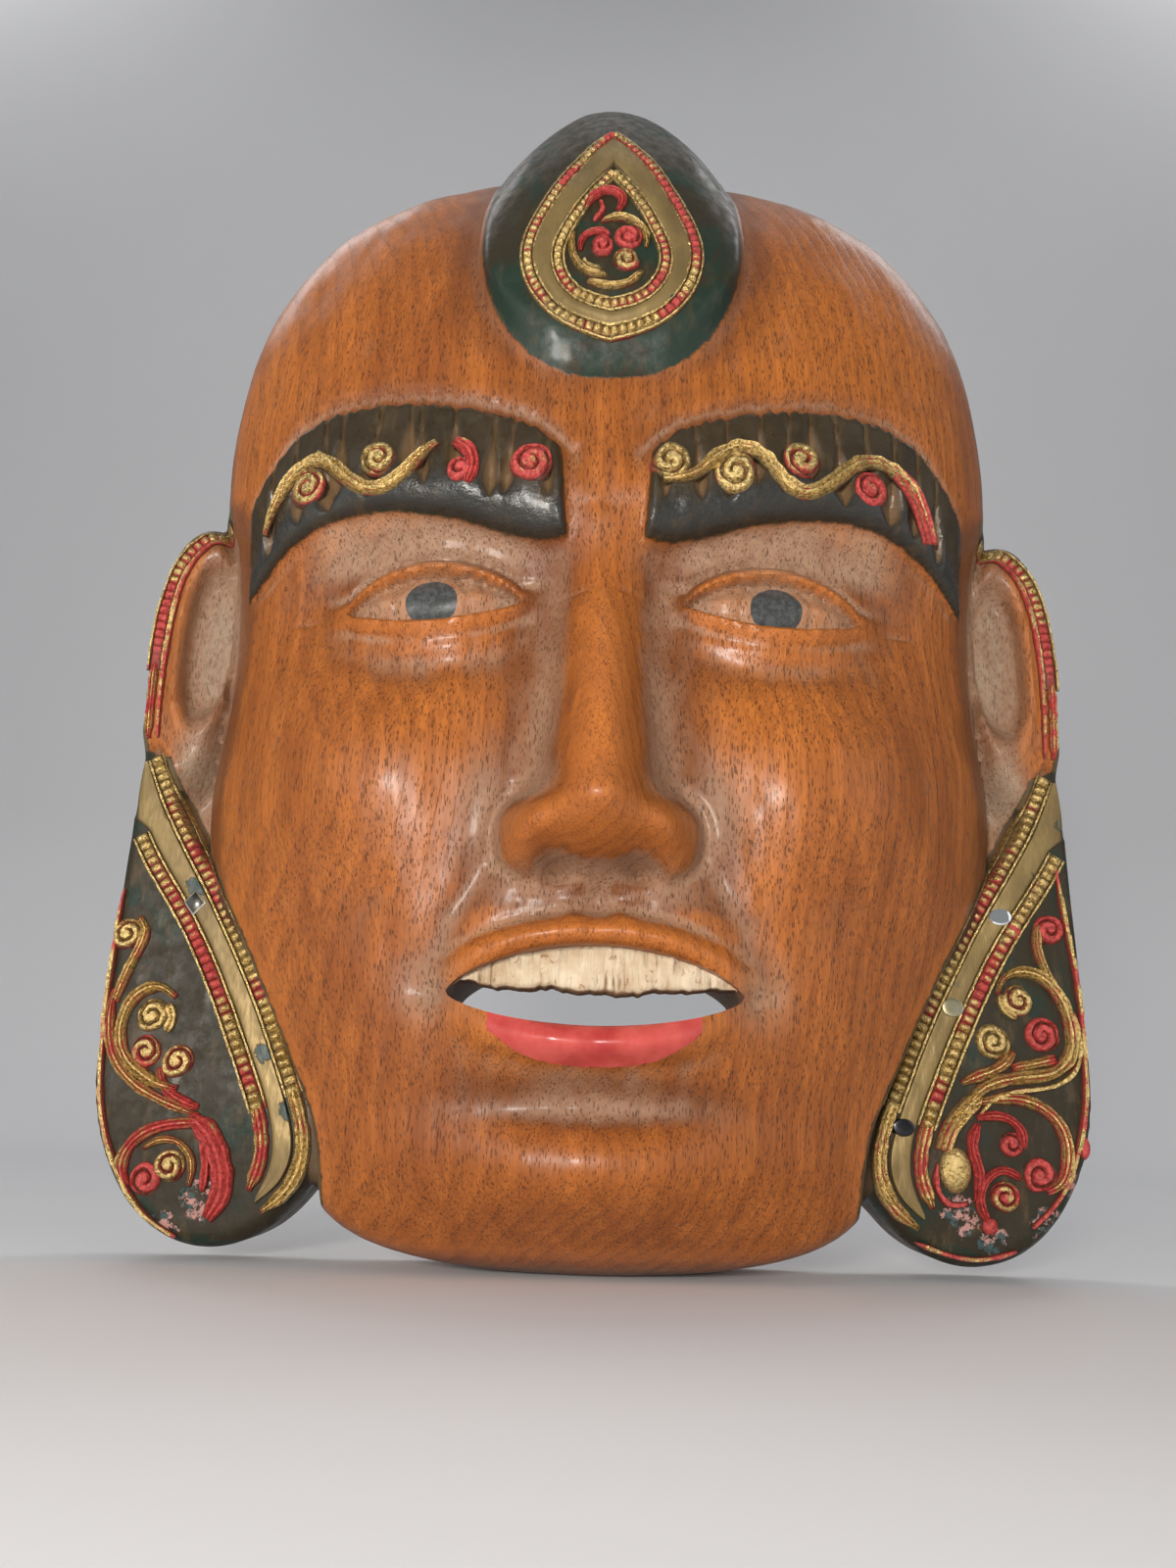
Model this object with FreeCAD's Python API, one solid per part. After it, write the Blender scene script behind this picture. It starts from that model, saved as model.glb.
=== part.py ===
import FreeCAD, Part
import math
import os

os.makedirs("parts", exist_ok=True)
V = FreeCAD.Vector

# Carved wall mask. Millimetres. x is to the viewer's right, t is the height above the chin,
# h is the height of the carving above the back plane. The world has z = t - NAIL_T and y = -h,
# so the mouth of the wall nail hole is the origin and the face looks along -Y.
NAIL_T = 268.0
TOTAL_T = 300.0
RIM_H = 12.0
EYE_X = 38.0
EYE_T = 140.0
NAIL_R = 2.5
NAIL_DEPTH = 13.0
HOLLOW = (0.0, 136.0, 77.0, 110.0, 37.0)
BOSS_HALF = 31.6
BOSS_MID = 240.0
BOSS_DOWN = 46.0
BOSS_ROUND = 0.027
MOUTH_X = 30.0
MOUTH_T = 55.0
TEETH_BACK = 6.5
TEETH_THICK = 7.0
BEAD_W = 4.0
BEAD_H = 1.7
BAND_H = 1.2
SCROLL_H = 1.8
CORD_W = 2.2
# Crown teardrop edges, outside in: half-width, lowest t and tip t.
TEARS = [(20.8, 202.6, 268.5), (18.8, 205.0, 264.5), (13.9, 208.8, 252.0), (11.4, 212.0, 247.5)]
MIRROR_SEAT = 0.5

# Centre-line height of the head, then its half-width, both by t.
DEPTH = [(-12, 14), (0, 27), (6, 38), (20, 47), (35, 49), (50, 51), (80, 52), (110, 53), (140, 52),
         (150, 53), (165, 57), (182, 56), (200, 55), (218, 53), (235, 49), (250, 44), (262, 38),
         (272, 30), (280, 20), (288, 12)]
WIDTH = [(-12, 40), (0, 56), (8, 64), (20, 67), (40, 73), (60, 82), (80, 90), (100, 93), (120, 92),
         (145, 91.5), (165, 94), (178, 98.5), (205, 98), (230, 93), (250, 83), (264, 71), (275, 54),
         (284, 30), (292, 12)]
# Inner edge of the side lappet by t, and the height of its front.
LAPPET_X = [(-12, 56), (8, 57.5), (20, 58), (30, 60), (42, 66), (54, 72), (66, 78.5), (80, 87),
            (90, 93), (100, 99), (113, 104.5), (125, 110)]
LAPPET_H = [(-5, 15), (4, 17.5), (30, 20), (70, 19), (100, 18.5), (120, 18)]
BOSS_H = [(196, 56), (210, 59.5), (225, 60), (240, 59), (255, 56), (268, 51), (280, 44), (290, 36),
          (297, 28), (304, 20)]
# Nose ridge: height above the face and half-width by t.
NOSE_H = [(74, 0), (79, 6), (83, 20), (88, 27), (94, 26), (110, 19), (125, 13), (140, 7), (152, 3),
          (162, 0)]
NOSE_W = [(74, 12), (86, 12.5), (100, 10.5), (125, 8.5), (162, 9)]
# Lower and upper edge of the raised brow by |x|.
BROW_LOW = [(8, 155), (16, 155), (35, 160), (55, 162), (72, 158), (86, 148)]
BROW_TOP = [(8, 172), (16, 180), (35, 186), (55, 188), (72, 184), (86, 168)]


def curve(table, s):
    """Smooth value at s of a table of (place, value) pairs."""
    if s <= table[0][0]:
        return float(table[0][1])
    if s >= table[-1][0]:
        return float(table[-1][1])
    i = max(k for k in range(len(table)) if table[k][0] <= s)
    lo = max(i - 1, 0)
    hi = min(i + 2, len(table) - 1)
    (s0, v0), (s1, v1) = table[i], table[i + 1]
    m0 = (v1 - table[lo][1]) / (s1 - table[lo][0])
    m1 = (table[hi][1] - v0) / (table[hi][0] - s0)
    u = (s - s0) / (s1 - s0)
    span = s1 - s0
    a = 2 * u ** 3 - 3 * u ** 2 + 1
    b = u ** 3 - 2 * u ** 2 + u
    c = 3 * u ** 2 - 2 * u ** 3
    d = u ** 3 - u ** 2
    return a * v0 + b * span * m0 + c * v1 + d * span * m1


def ramp(v, a, b):
    """0 below a, 1 above b, smooth between."""
    u = min(max((v - a) / (b - a), 0.0), 1.0)
    return u * u * (3 - 2 * u)


def bump(a, t, ca, ct, ra, rt):
    return math.exp(-((a - ca) / ra) ** 2 - ((t - ct) / rt) ** 2)


def head(a, t):
    """The plain rounded block of the head."""
    s = min(a / curve(WIDTH, t), 1.0)
    return RIM_H + (curve(DEPTH, t) - RIM_H) * (1 - s ** 2.5) ** 0.55


def face(a, t):
    """Nose, brows, eyes, cheeks, lips and chin, as heights added to the block."""
    nose = curve(NOSE_H, t) * math.exp(-(a / curve(NOSE_W, t)) ** 2.4)
    wing = 10 * bump(a, t, 14.5, 85.5, 6, 7)
    socket = -8 * bump(a, t, 36, 144, 27, 15)
    ball = 8.5 * math.exp(-(((a - EYE_X) / 19) ** 2 + ((t - EYE_T) / 9.5) ** 2) ** 2)
    lid = 1.5 * bump(a, t, EYE_X, 152, 22, 3.5)
    plate = ramp(t, curve(BROW_LOW, a) - 1.5, curve(BROW_LOW, a) + 1.5)
    plate *= ramp(-t, -curve(BROW_TOP, a) - 1.5, -curve(BROW_TOP, a) + 1.5)
    plate *= ramp(a, 8, 11) * ramp(-a, -86, -83)
    cheek = 8 * bump(a, t, 50, 100, 24, 23)
    muzzle = 5 * bump(a, t, 0, 56, 38, 22)
    upper = 4.5 * bump(a, t, 0, 67.5, 26, 4.5)
    lower = 6 * bump(a, t, 0, 44, 22, 6)
    chin = 7 * bump(a, t, 0, 20, 26, 12)
    groove = -3 * bump(a, t, 0, 33, 24, 5)
    return nose + wing + socket + ball + lid + 3.2 * plate + cheek + muzzle + upper + lower + chin + groove


def ear(a, t):
    """Front of the ear: a domed plate with a long smooth hollow."""
    q = ((a - 101.5) / 13) ** 2 + ((t - 139) / 37) ** 2
    dome = RIM_H + 10 * ramp(1.25 - q, 0, 0.6)
    dish = 6 * math.exp(-((a - 97.5) / 5.5) ** 4 - ((t - 141) / 19) ** 4)
    return dome - dish


def height(x, t):
    """Height of the carved front above the back plane."""
    a = abs(x)
    h = head(a, t) + face(a, t)
    h = max(h, ear(a, t) * ramp(a, 86, 92)) if a > 86 else h
    side = ramp(a, curve(LAPPET_X, t) - 2, curve(LAPPET_X, t) + 1.5) * ramp(-t, -118, -108)
    h = h + side * (curve(LAPPET_H, t) - h)
    down = BOSS_DOWN if t < BOSS_MID else TOTAL_T - BOSS_MID
    q = (a / BOSS_HALF) ** 2.3 + (abs(t - BOSS_MID) / down) ** 2.3
    boss = curve(BOSS_H, t + BOSS_ROUND * a * a) - 2 * (a / BOSS_HALF) ** 2
    return h + ramp(1 - q, -0.1, 0.12) * max(boss - h, 0)


def greville(lo, hi, n):
    """Pole places that make a clamped cubic spline linear in its parameter, with its knots."""
    step = (hi - lo) / (n - 3)
    knots = [lo + step * k for k in range(n - 2)]
    full = [lo] * 3 + knots + [hi] * 3
    return [sum(full[i + 1:i + 4]) / 3 for i in range(n)], knots


def carved_surface():
    xs, xk = greville(-118.0, 118.0, 82)
    ts, tk = greville(-8.0, 308.0, 108)
    poles = [[V(x, -height(x, t), t - NAIL_T) for t in ts] for x in xs]
    xm = [4] + [1] * (len(xk) - 2) + [4]
    tm = [4] + [1] * (len(tk) - 2) + [4]
    s = Part.BSplineSurface()
    s.buildFromPolesMultsKnots(poles, xm, tm, xk, tk, False, False, 3, 3)
    return s


SURFACE = carved_surface()


def layer(x0, x1, t0, t1, up, down=0.0):
    """The skin over a patch of the carved front, from `down` below it to `up` above it."""
    s = SURFACE.copy()
    s.segment(max(x0, -117.5), min(x1, 117.5), max(t0, -7.5), min(t1, 307.5))
    face_ = s.toShape()
    face_.translate(V(0, down, 0))
    return face_.extrude(V(0, -(up + down), 0))


def spline_edge(pts, closed=False):
    b = Part.BSplineCurve()
    b.interpolate([V(x, 0, t - NAIL_T) for x, t in pts], PeriodicFlag=closed)
    return b.toShape()


def line_edge(p, q):
    return Part.makeLine(V(p[0], 0, p[1] - NAIL_T), V(q[0], 0, q[1] - NAIL_T))


def plug(edges, y0=5.0, y1=-100.0):
    """Straight prism along Y over a closed outline."""
    wire = Part.Wire(Part.__sortEdges__(edges))
    f = Part.Face(wire)
    f.translate(V(0, y0, 0))
    return f.extrude(V(0, y1 - y0, 0))


def smooth_path(pts, n):
    """n + 1 points and unit normals along a spline through pts."""
    b = Part.BSplineCurve()
    b.interpolate([V(x, 0, t) for x, t in pts])
    out = []
    for k in range(n + 1):
        u = b.FirstParameter + (b.LastParameter - b.FirstParameter) * k / n
        p = b.value(u)
        d = b.tangent(u)[0]
        out.append((p.x, p.z, -d.z, d.x))
    return out


def strip_edges(pts, width, n=24, taper=1.0):
    """Outline of a strip of the given width along a path, with square ends."""
    run = smooth_path(pts, n)
    left, right = [], []
    for k, (x, t, nx, nt) in enumerate(run):
        half = 0.5 * width * (1 + (taper - 1) * k / n)
        left.append((x + nx * half, t + nt * half))
        right.append((x - nx * half, t - nt * half))
    return [spline_edge(left), line_edge(left[-1], right[-1]),
            spline_edge(right[::-1]), line_edge(right[0], left[0])]


def laid(prism, up, down=0.0):
    """The part of the skin of the carved front that lies inside a prism."""
    b = prism.BoundBox
    skin = layer(b.XMin - 2, b.XMax + 2, b.ZMin + NAIL_T - 2, b.ZMax + NAIL_T + 2, up, down)
    return prism.common(skin)


def strip(pts, width, up, n=24, taper=1.0):
    return laid(plug(strip_edges(pts, width, n, taper)), up)


def disc(x, t, r, up, down=0.0):
    cyl = Part.makeCylinder(r, 105, V(x, 5, t - NAIL_T), V(0, -1, 0))
    return laid(cyl, up, down)


def flip(pts, side):
    return [(side * x, t) for x, t in pts]


def save(shape, name):
    solids = shape.Solids
    whole = solids[0] if len(solids) == 1 else Part.Compound(solids)
    whole.exportStep("parts/" + name + ".step")
    print(name, len(solids), round(whole.Volume, 1), whole.isValid())


# The outline of the whole carving: chin, lappets, ears, head and crown boss.
CHIN = [(0, 0), (22, 0.8), (42, 4.5), (54, 10), (61, 16.5)]
LAPPET = [(61, 16.5), (69, 7.5), (82, 2.5), (95, 6), (105.5, 18), (110.8, 35), (111.5, 58), (111, 95),
          (110.5, 125), (111, 148), (108, 163), (101.5, 172.5), (95.5, 176)]
SKULL = [(95.5, 176), (95.8, 192), (94, 215), (88.5, 240), (77.5, 261), (60, 275), (38, 281)]
BOSS = [(38, 281), (31, 282), (24, 289), (13.5, 296.8), (0, 300)]


def outline():
    edges = []
    for side in (1, -1):
        edges += [spline_edge(flip(part, side)) for part in (LAPPET, SKULL)]
    chin = flip(CHIN[:0:-1], -1) + CHIN
    boss = BOSS[:-1] + [(0, TOTAL_T)] + flip(BOSS[-2::-1], -1)
    return edges + [spline_edge(chin), spline_edge(boss)]


def mouth_edges():
    """The slot of the mouth: two arcs with rounded ends."""
    x, t = MOUTH_X, MOUTH_T
    top = [(-x, t), (-x + 8, t + 6.5), (0, t + 9.5), (x - 8, t + 6.5), (x, t)]
    low = [(x, t), (x - 8, t - 4.5), (0, t - 6.5), (-x + 8, t - 4.5), (-x, t)]
    return [spline_edge(top), spline_edge(low)]


def teeth():
    """The upper tooth strip that fills the top of the mouth slot, set back behind the lip."""
    front = -height(0, 67.5) + TEETH_BACK
    slot = plug(mouth_edges(), front + TEETH_THICK, front)
    low = [(-40, 57.5), (-16, 56.2), (0, 55.4), (16, 56.2), (40, 57.5)]
    keep = plug([spline_edge(low), line_edge((40, 57.5), (40, 80)), line_edge((40, 80), (-40, 80)),
                 line_edge((-40, 80), (-40, 57.5))])
    return slot.common(keep)


def body():
    front = SURFACE.toShape().extrude(V(0, 110, 0))
    block = plug(outline(), 0.0, -100.0).common(front)
    x, t, rx, rt, depth = HOLLOW
    m = FreeCAD.Matrix()
    m.scale(rx, depth, rt)
    m.move(V(x, 0, t - NAIL_T))
    scoop = Part.makeSphere(1.0).transformGeometry(m)
    nail_hole = Part.makeCylinder(NAIL_R, NAIL_DEPTH + 5, V(0, 5, 0), V(0, -1, 0))
    for cut in (scoop, plug(mouth_edges()), nail_hole):
        block = block.cut(cut)
    return block


# Side lappets: centre lines of the two bead strips and the outer cord, on the viewer's right.
INNER = [(106.2, 112), (101.5, 102), (95.5, 91.5), (88, 79.5), (80.3, 66), (74, 54), (68.6, 42), (64.2, 31),
         (62.8, 22), (65.6, 15), (71, 10.3)]
OUTER = [(107.5, 93), (103.5, 86.5), (97.5, 78), (91, 68), (85.5, 58), (80.6, 48), (76, 38), (72.8, 29.5),
         (71.8, 21.5), (74, 14.5)]
CORD = [(108.8, 90), (109.2, 62), (107.2, 35), (102.5, 20.5), (94.5, 10.5), (84, 6.2)]
# Where the gold band meets the rim, above the top of the outer bead strip.
SHOULDER = [(109.0, 110.6), (109.6, 103.5), (109.2, 96.8)]
EAR = [(93.2, 170.8), (98.5, 168.5), (103.5, 163.5), (106.8, 154), (108, 142), (108.2, 128), (107.6, 116)]
# Mirror chips: x, t and radius; the left lappet has one, cut as a diamond.
MIRRORS = {1: [(93.3, 78.5, 2.0), (80.6, 57, 2.0), (68.4, 31.2, 2.0)], -1: [(92.6, 77, 2.3)]}
# Scroll vines of the lappet field: path points and ribbon width, then the spiral eyes.
VINES = {
    1: [([(103.5, 75.5), (102.6, 68), (106.2, 60), (106.6, 50), (101.5, 43.5), (92, 41.5), (83.5, 36)], 3.2),
        ([(83.5, 36), (92, 37), (101, 34.5), (104.8, 27), (101, 20.5)], 3.0),
        ([(92, 60), (97, 63.5), (102.5, 61.5), (106, 56)], 2.6),
        ([(89.5, 50), (90.5, 45.5), (96, 42.4)], 2.4),
        ([(81, 22), (80.5, 30), (83.5, 36)], 6.0),
        ([(84.5, 35.5), (90.5, 33), (92.5, 28)], 2.6),
        ([(85, 12.5), (84.5, 20), (90, 22.5), (91, 18)], 2.6)],
    -1: [([(-107.6, 70), (-105.8, 61), (-108, 51), (-105, 41), (-98, 35), (-88, 30)], 3.2),
         ([(-88, 30), (-96, 28.5), (-102, 22), (-99.5, 15), (-95.5, 16)], 3.0),
         ([(-99, 52.5), (-103, 53), (-106.4, 47)], 2.6),
         ([(-92.5, 41.5), (-97, 42), (-102, 38)], 2.4),
         ([(-79.5, 11), (-81.5, 20), (-88, 30)], 4.6),
         ([(-96, 16), (-91, 13), (-89, 18), (-92, 20)], 2.6)],
}
EYES = {1: [(104, 76, 4.2), (93.5, 60, 4.4), (100.2, 51.5, 3.6), (88.8, 50, 4.0), (92.6, 28.5, 2.8),
            (97.5, 20.5, 4.0), (89.5, 17.2, 4.2), (80.5, 22, 4.2)],
        -1: [(-107.2, 70, 3.9), (-98.6, 52, 4.2), (-99, 43.5, 3.6), (-92, 41.8, 3.2), (-91.5, 19.2, 4.2),
             (-97, 16, 3.2)]}
BRANCH = {1: [([(100.2, 51.5), (97.5, 47), (94, 42.5)], 2.2)], -1: [([(-99, 43.5), (-101, 40), (-98, 35)], 2.2)]}


def vine(paths, eyes):
    """A scroll of ribbons and round spiral eyes, joined as one prism and laid on the carving."""
    plan = [plug(strip_edges(pts, width, 16)) for pts, width in paths]
    plan += [Part.makeCylinder(r, 105, V(x, 5, t - NAIL_T), V(0, -1, 0)) for x, t, r in eyes]
    whole = plan[0].multiFuse(plan[1:])
    return laid(whole, SCROLL_H)


def mirror_prism(side, x, t, r):
    if side > 0:
        return Part.makeCylinder(r, 105, V(x, 5, t - NAIL_T), V(0, -1, 0))
    pts = [(side * x + dx, t + dt) for dx, dt in ((0, r), (r, 0), (0, -r), (-r, 0))]
    return plug([line_edge(pts[k], pts[(k + 1) % 4]) for k in range(4)])


def gold_band(side):
    """The flat strip that fills the gap between the two bead strips."""
    inner = [(x + nx * BEAD_W / 2, t + nt * BEAD_W / 2) for x, t, nx, nt in smooth_path(INNER, 24)]
    outer = [(x - nx * BEAD_W / 2, t - nt * BEAD_W / 2) for x, t, nx, nt in smooth_path(OUTER, 24)]
    inner = flip(inner, side)
    outer = flip(outer, side)
    shoulder = flip(SHOULDER, side)
    edges = [spline_edge(inner), line_edge(inner[-1], outer[-1]), spline_edge(outer[::-1]),
             line_edge(outer[0], shoulder[-1]), spline_edge(shoulder[::-1]), line_edge(shoulder[0], inner[0])]
    return laid(plug(edges), BAND_H)


def lappet(side, word):
    save(strip(flip(INNER, side), BEAD_W, BEAD_H), word + "_lappet_inner_beading")
    save(strip(flip(OUTER, side), BEAD_W, BEAD_H), word + "_lappet_outer_beading")
    save(strip(flip(CORD, side), CORD_W, SCROLL_H), word + "_lappet_rim_cord")
    save(vine(VINES[side] + BRANCH[side], EYES[side]), word + "_lappet_scrollwork")
    save(strip(flip(EAR, side), BEAD_W, BEAD_H), word + "_ear_beading")
    band = gold_band(side)
    chips = []
    for x, t, r in MIRRORS[side]:
        chip = laid(mirror_prism(side, x, t, r), BAND_H + 0.4, -MIRROR_SEAT)
        band = band.cut(chip)
        chips.append(chip)
    save(band, word + "_lappet_gold_band")
    save(Part.Compound(chips), word + "_lappet_mirrors")


def tear(w, low, top):
    """Outline of a teardrop: a round bowl rising to a point."""
    span = top - low
    half = [(0, low), (0.62 * w, low + 0.075 * span), (w, low + 0.33 * span), (0.78 * w, low + 0.58 * span),
            (0.37 * w, low + 0.83 * span), (0, top)]
    return plug([spline_edge(half), spline_edge(flip(half, -1))])


def tear_ring(k, up):
    return laid(tear(*TEARS[k]).cut(tear(*TEARS[k + 1])), up)


CROWN_VINES = [([(-6.5, 221), (0, 215.5), (6, 218.5), (7.6, 227), (4.5, 233.5), (-2, 234.5)], 2.2),
               ([(-6.5, 221), (-6.3, 228), (-3, 230), (-0.8, 226.5)], 2.2),
               ([(-2, 234.5), (-3.2, 238), (-1.5, 242)], 2.2)]
CROWN_EYES = [(-2.2, 226.2, 2.6), (3.6, 229.5, 3.2), (3.3, 222.6, 2.6), (-5.4, 220.5, 2.2), (-1.8, 240.4, 2.6)]

# Brow vines: an S-wave with a spiral eye in each bay. The left one has lost pieces.
BROW_WAVE = [([(12, 165.6), (21, 169.5), (29, 175.3), (36.5, 170.5), (43, 166.3), (50.5, 170.5), (60, 176.3),
               (69, 172), (75, 162.5)], 3.0)]
BROW_EYES = [(13.8, 170.3, 4.8), (27.8, 170, 4.6), (43.5, 171.8, 4.6), (60, 170.8, 4.6)]
BROKEN_WAVE = [([(80, 161.5), (74, 171.5), (67, 175.3), (59.5, 170), (52, 165.6), (44, 169), (38.5, 175)], 3.0)]
BROKEN_EYES = [(68.3, 169.9, 4.6), (51.6, 171, 4.6)]
HOOK = [([(33, 175), (28.5, 171), (30.5, 165)], 2.8)]
HOOK_EYES = [(31, 168, 3.2)]
STUB_EYE = (16.5, 169.5, 4.8)


def mirrored(vines, eyes):
    return [(flip(pts, -1), w) for pts, w in vines], [(-x, t, r) for x, t, r in eyes]


def brows():
    save(vine(BROW_WAVE, BROW_EYES), "right_brow_scroll")
    kept = vine(*mirrored(BROKEN_WAVE, BROKEN_EYES))
    hook = vine(*mirrored(HOOK, HOOK_EYES))
    x, t, r = STUB_EYE
    save(Part.Compound([kept, hook, disc(-x, t, r, SCROLL_H)]), "left_brow_scroll")


save(body(), "carved_body")
save(teeth(), "upper_teeth")
save(tear_ring(0, BEAD_H), "crown_outer_beading")
save(tear_ring(1, BAND_H), "crown_gold_band")
save(tear_ring(2, BEAD_H), "crown_inner_beading")
save(vine(CROWN_VINES, CROWN_EYES), "crown_scrollwork")
brows()
for side, word in ((1, "right"), (-1, "left")):
    lappet(side, word)
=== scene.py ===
import math

import bpy
import numpy as np
from mathutils import Matrix, Vector
from mathutils.kdtree import KDTree


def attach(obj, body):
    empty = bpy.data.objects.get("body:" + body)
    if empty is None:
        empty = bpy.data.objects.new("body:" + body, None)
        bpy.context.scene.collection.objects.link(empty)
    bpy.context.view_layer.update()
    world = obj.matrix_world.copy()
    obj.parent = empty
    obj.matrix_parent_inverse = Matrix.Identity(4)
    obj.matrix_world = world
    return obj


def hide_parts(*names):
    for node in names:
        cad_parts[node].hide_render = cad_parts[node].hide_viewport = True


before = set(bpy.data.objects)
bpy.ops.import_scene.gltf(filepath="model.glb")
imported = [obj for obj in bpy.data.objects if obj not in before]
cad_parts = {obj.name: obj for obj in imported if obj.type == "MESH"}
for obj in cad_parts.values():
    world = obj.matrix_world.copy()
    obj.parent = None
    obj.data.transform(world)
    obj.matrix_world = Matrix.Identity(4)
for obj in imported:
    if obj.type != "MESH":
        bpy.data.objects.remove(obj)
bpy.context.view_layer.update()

# A carved wall mask. Lengths in the tables are millimetres: x to the viewer's right, t up from the chin,
# h out from the wall. place() turns them into the frame's metres, where the nail hole is the origin.
NAIL_T = 268.0
RIM_H = 12.0
EYE_X, EYE_T, PUPIL_R = 38.0, 140.0, 5.8
HOLLOW_T, HOLLOW_X, HOLLOW_Z, HOLLOW_H = 136.0, 77.0, 110.0, 37.0
BOSS_HALF, BOSS_MID, BOSS_DOWN, BOSS_UP, BOSS_ROUND = 31.6, 240.0, 46.0, 82.0, 0.027
MOUTH_X, MOUTH_T = 30.0, 55.0
TOP_T = 300.0
NAIL_R, NAIL_DEEP = 2.5, 13.0
LOBE_T = 112  # where each ear gives way to its lappet
EASE = 0.7  # width of the worn edges of the back
SINK = 0.35  # how far the putty's edges run into the carving
HEART_X, HEART_Y, RING_GAP = 0.26, 0.17, 0.0034  # the tree's heart and its year rings, in metres
OFF = -5  # the value of a paint layer well outside the paint

# The same tables as the CAD part, by t: the centre line's height, the head's half-width, the lappet's inner
# edge and height, the boss and the nose; then, by x, the brows' edges; then the outline's four stretches.
DEPTH = [(-12, 14), (0, 27), (6, 38), (20, 47), (35, 49), (50, 51), (80, 52), (110, 53), (140, 52),
         (150, 53), (165, 57), (182, 56), (200, 55), (218, 53), (235, 49), (250, 44), (262, 38),
         (272, 30), (280, 20), (288, 12)]
WIDTH = [(-12, 40), (0, 56), (8, 64), (20, 67), (40, 73), (60, 82), (80, 90), (100, 93), (120, 92),
         (145, 91.5), (165, 94), (178, 98.5), (205, 98), (230, 93), (250, 83), (264, 71), (275, 54),
         (284, 30), (292, 12)]
LAPPET_X = [(-12, 56), (8, 57.5), (20, 58), (30, 60), (42, 66), (54, 72), (66, 78.5), (80, 87),
            (90, 93), (100, 99), (113, 104.5), (125, 110)]
LAPPET_H = [(-5, 15), (4, 17.5), (30, 20), (70, 19), (100, 18.5), (120, 18)]
BOSS_H = [(196, 56), (210, 59.5), (225, 60), (240, 59), (255, 56), (268, 51), (280, 44), (290, 36),
          (297, 28), (304, 20)]
NOSE_H = [(74, 0), (79, 6), (83, 20), (88, 27), (94, 26), (110, 19), (125, 13), (140, 7), (152, 3),
          (162, 0)]
NOSE_W = [(74, 12), (86, 12.5), (100, 10.5), (125, 8.5), (162, 9)]
BROW_LOW = [(8, 155), (16, 155), (35, 160), (55, 162), (72, 158), (86, 148)]
BROW_TOP = [(8, 172), (16, 180), (35, 186), (55, 188), (72, 184), (86, 168)]
CHIN = [(0, 0), (22, 0.8), (42, 4.5), (54, 10), (61, 16.5)]
LAPPET = [(61, 16.5), (69, 7.5), (82, 2.5), (95, 6), (105.5, 18), (110.8, 35), (111.5, 58), (111, 95),
          (110.5, 125), (111, 148), (108, 163), (101.5, 172.5), (95.5, 176)]
SKULL = [(95.5, 176), (95.8, 192), (94, 215), (88.5, 240), (77.5, 261), (60, 275), (38, 281)]
BOSS = [(38, 281), (31, 282), (24, 289), (13.5, 296.8), (0, 300)]


# ---------------------------------------------------------------- curves and the carved surface

def curve(table, s):
    """Smooth value of a table of (place, value) pairs, for an array of places."""
    p, v = np.array(table, float).T
    m = np.empty_like(v)
    m[1:-1] = (v[2:] - v[:-2]) / (p[2:] - p[:-2])
    m[0] = (v[1] - v[0]) / (p[1] - p[0])
    m[-1] = (v[-1] - v[-2]) / (p[-1] - p[-2])
    s = np.clip(s, p[0], p[-1])
    i = np.clip(np.searchsorted(p, s, side="right") - 1, 0, len(p) - 2)
    span = p[i + 1] - p[i]
    u = (s - p[i]) / span
    return ((2 * u**3 - 3 * u**2 + 1) * v[i] + (u**3 - 2 * u**2 + u) * span * m[i]
            + (3 * u**2 - 2 * u**3) * v[i + 1] + (u**3 - u**2) * span * m[i + 1])


def spline(pts, step=0.5):
    """Points about `step` apart along a natural cubic spline through pts."""
    p = np.array(pts, float)
    s = np.r_[0, np.cumsum(np.hypot(*np.diff(p, axis=0).T))]
    n, h = len(p), np.diff(s)
    a, r = np.eye(n), np.zeros((n, 2))
    for k in range(1, n - 1):
        a[k, k - 1:k + 2] = h[k - 1], 2 * (h[k - 1] + h[k]), h[k]
        r[k] = 6 * ((p[k + 1] - p[k]) / h[k] - (p[k] - p[k - 1]) / h[k - 1])
    m = np.linalg.solve(a, r)
    q = np.linspace(0, s[-1], max(int(s[-1] / step), 6) + 1)
    i = np.clip(np.searchsorted(s, q, side="right") - 1, 0, n - 2)
    d, c, w = (s[i + 1] - q)[:, None], (q - s[i])[:, None], h[i][:, None]
    return (m[i] * d**3 / (6 * w) + m[i + 1] * c**3 / (6 * w)
            + (p[i] / w - m[i] * w / 6) * d + (p[i + 1] / w - m[i + 1] * w / 6) * c)


def ramp(v, a, b):
    u = np.clip((v - a) / (b - a), 0.0, 1.0)
    return u * u * (3 - 2 * u)


def bell(v, middle, wide):
    return np.exp(-((v - middle) / wide) ** 2)


def bump(a, t, ca, ct, ra, rt):
    return np.exp(-((a - ca) / ra) ** 2 - ((t - ct) / rt) ** 2)


def grain(x, t, size, seed, stretch=1.0):
    """Seeded smooth noise, about -2 to 2, with features `size` wide and `stretch` times as tall."""
    g = np.random.default_rng(seed).standard_normal((97, 97))
    u, v = np.asarray(x, float) / size, np.asarray(t, float) / (size * stretch)
    i, j = np.floor(u).astype(int), np.floor(v).astype(int)
    fu, fv = u - i, v - j
    fu, fv = fu * fu * (3 - 2 * fu), fv * fv * (3 - 2 * fv)
    at = lambda a, b: g[a % 97, b % 97]
    return ((at(i, j) * (1 - fu) + at(i + 1, j) * fu) * (1 - fv)
            + (at(i, j + 1) * (1 - fu) + at(i + 1, j + 1) * fu) * fv)


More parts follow.
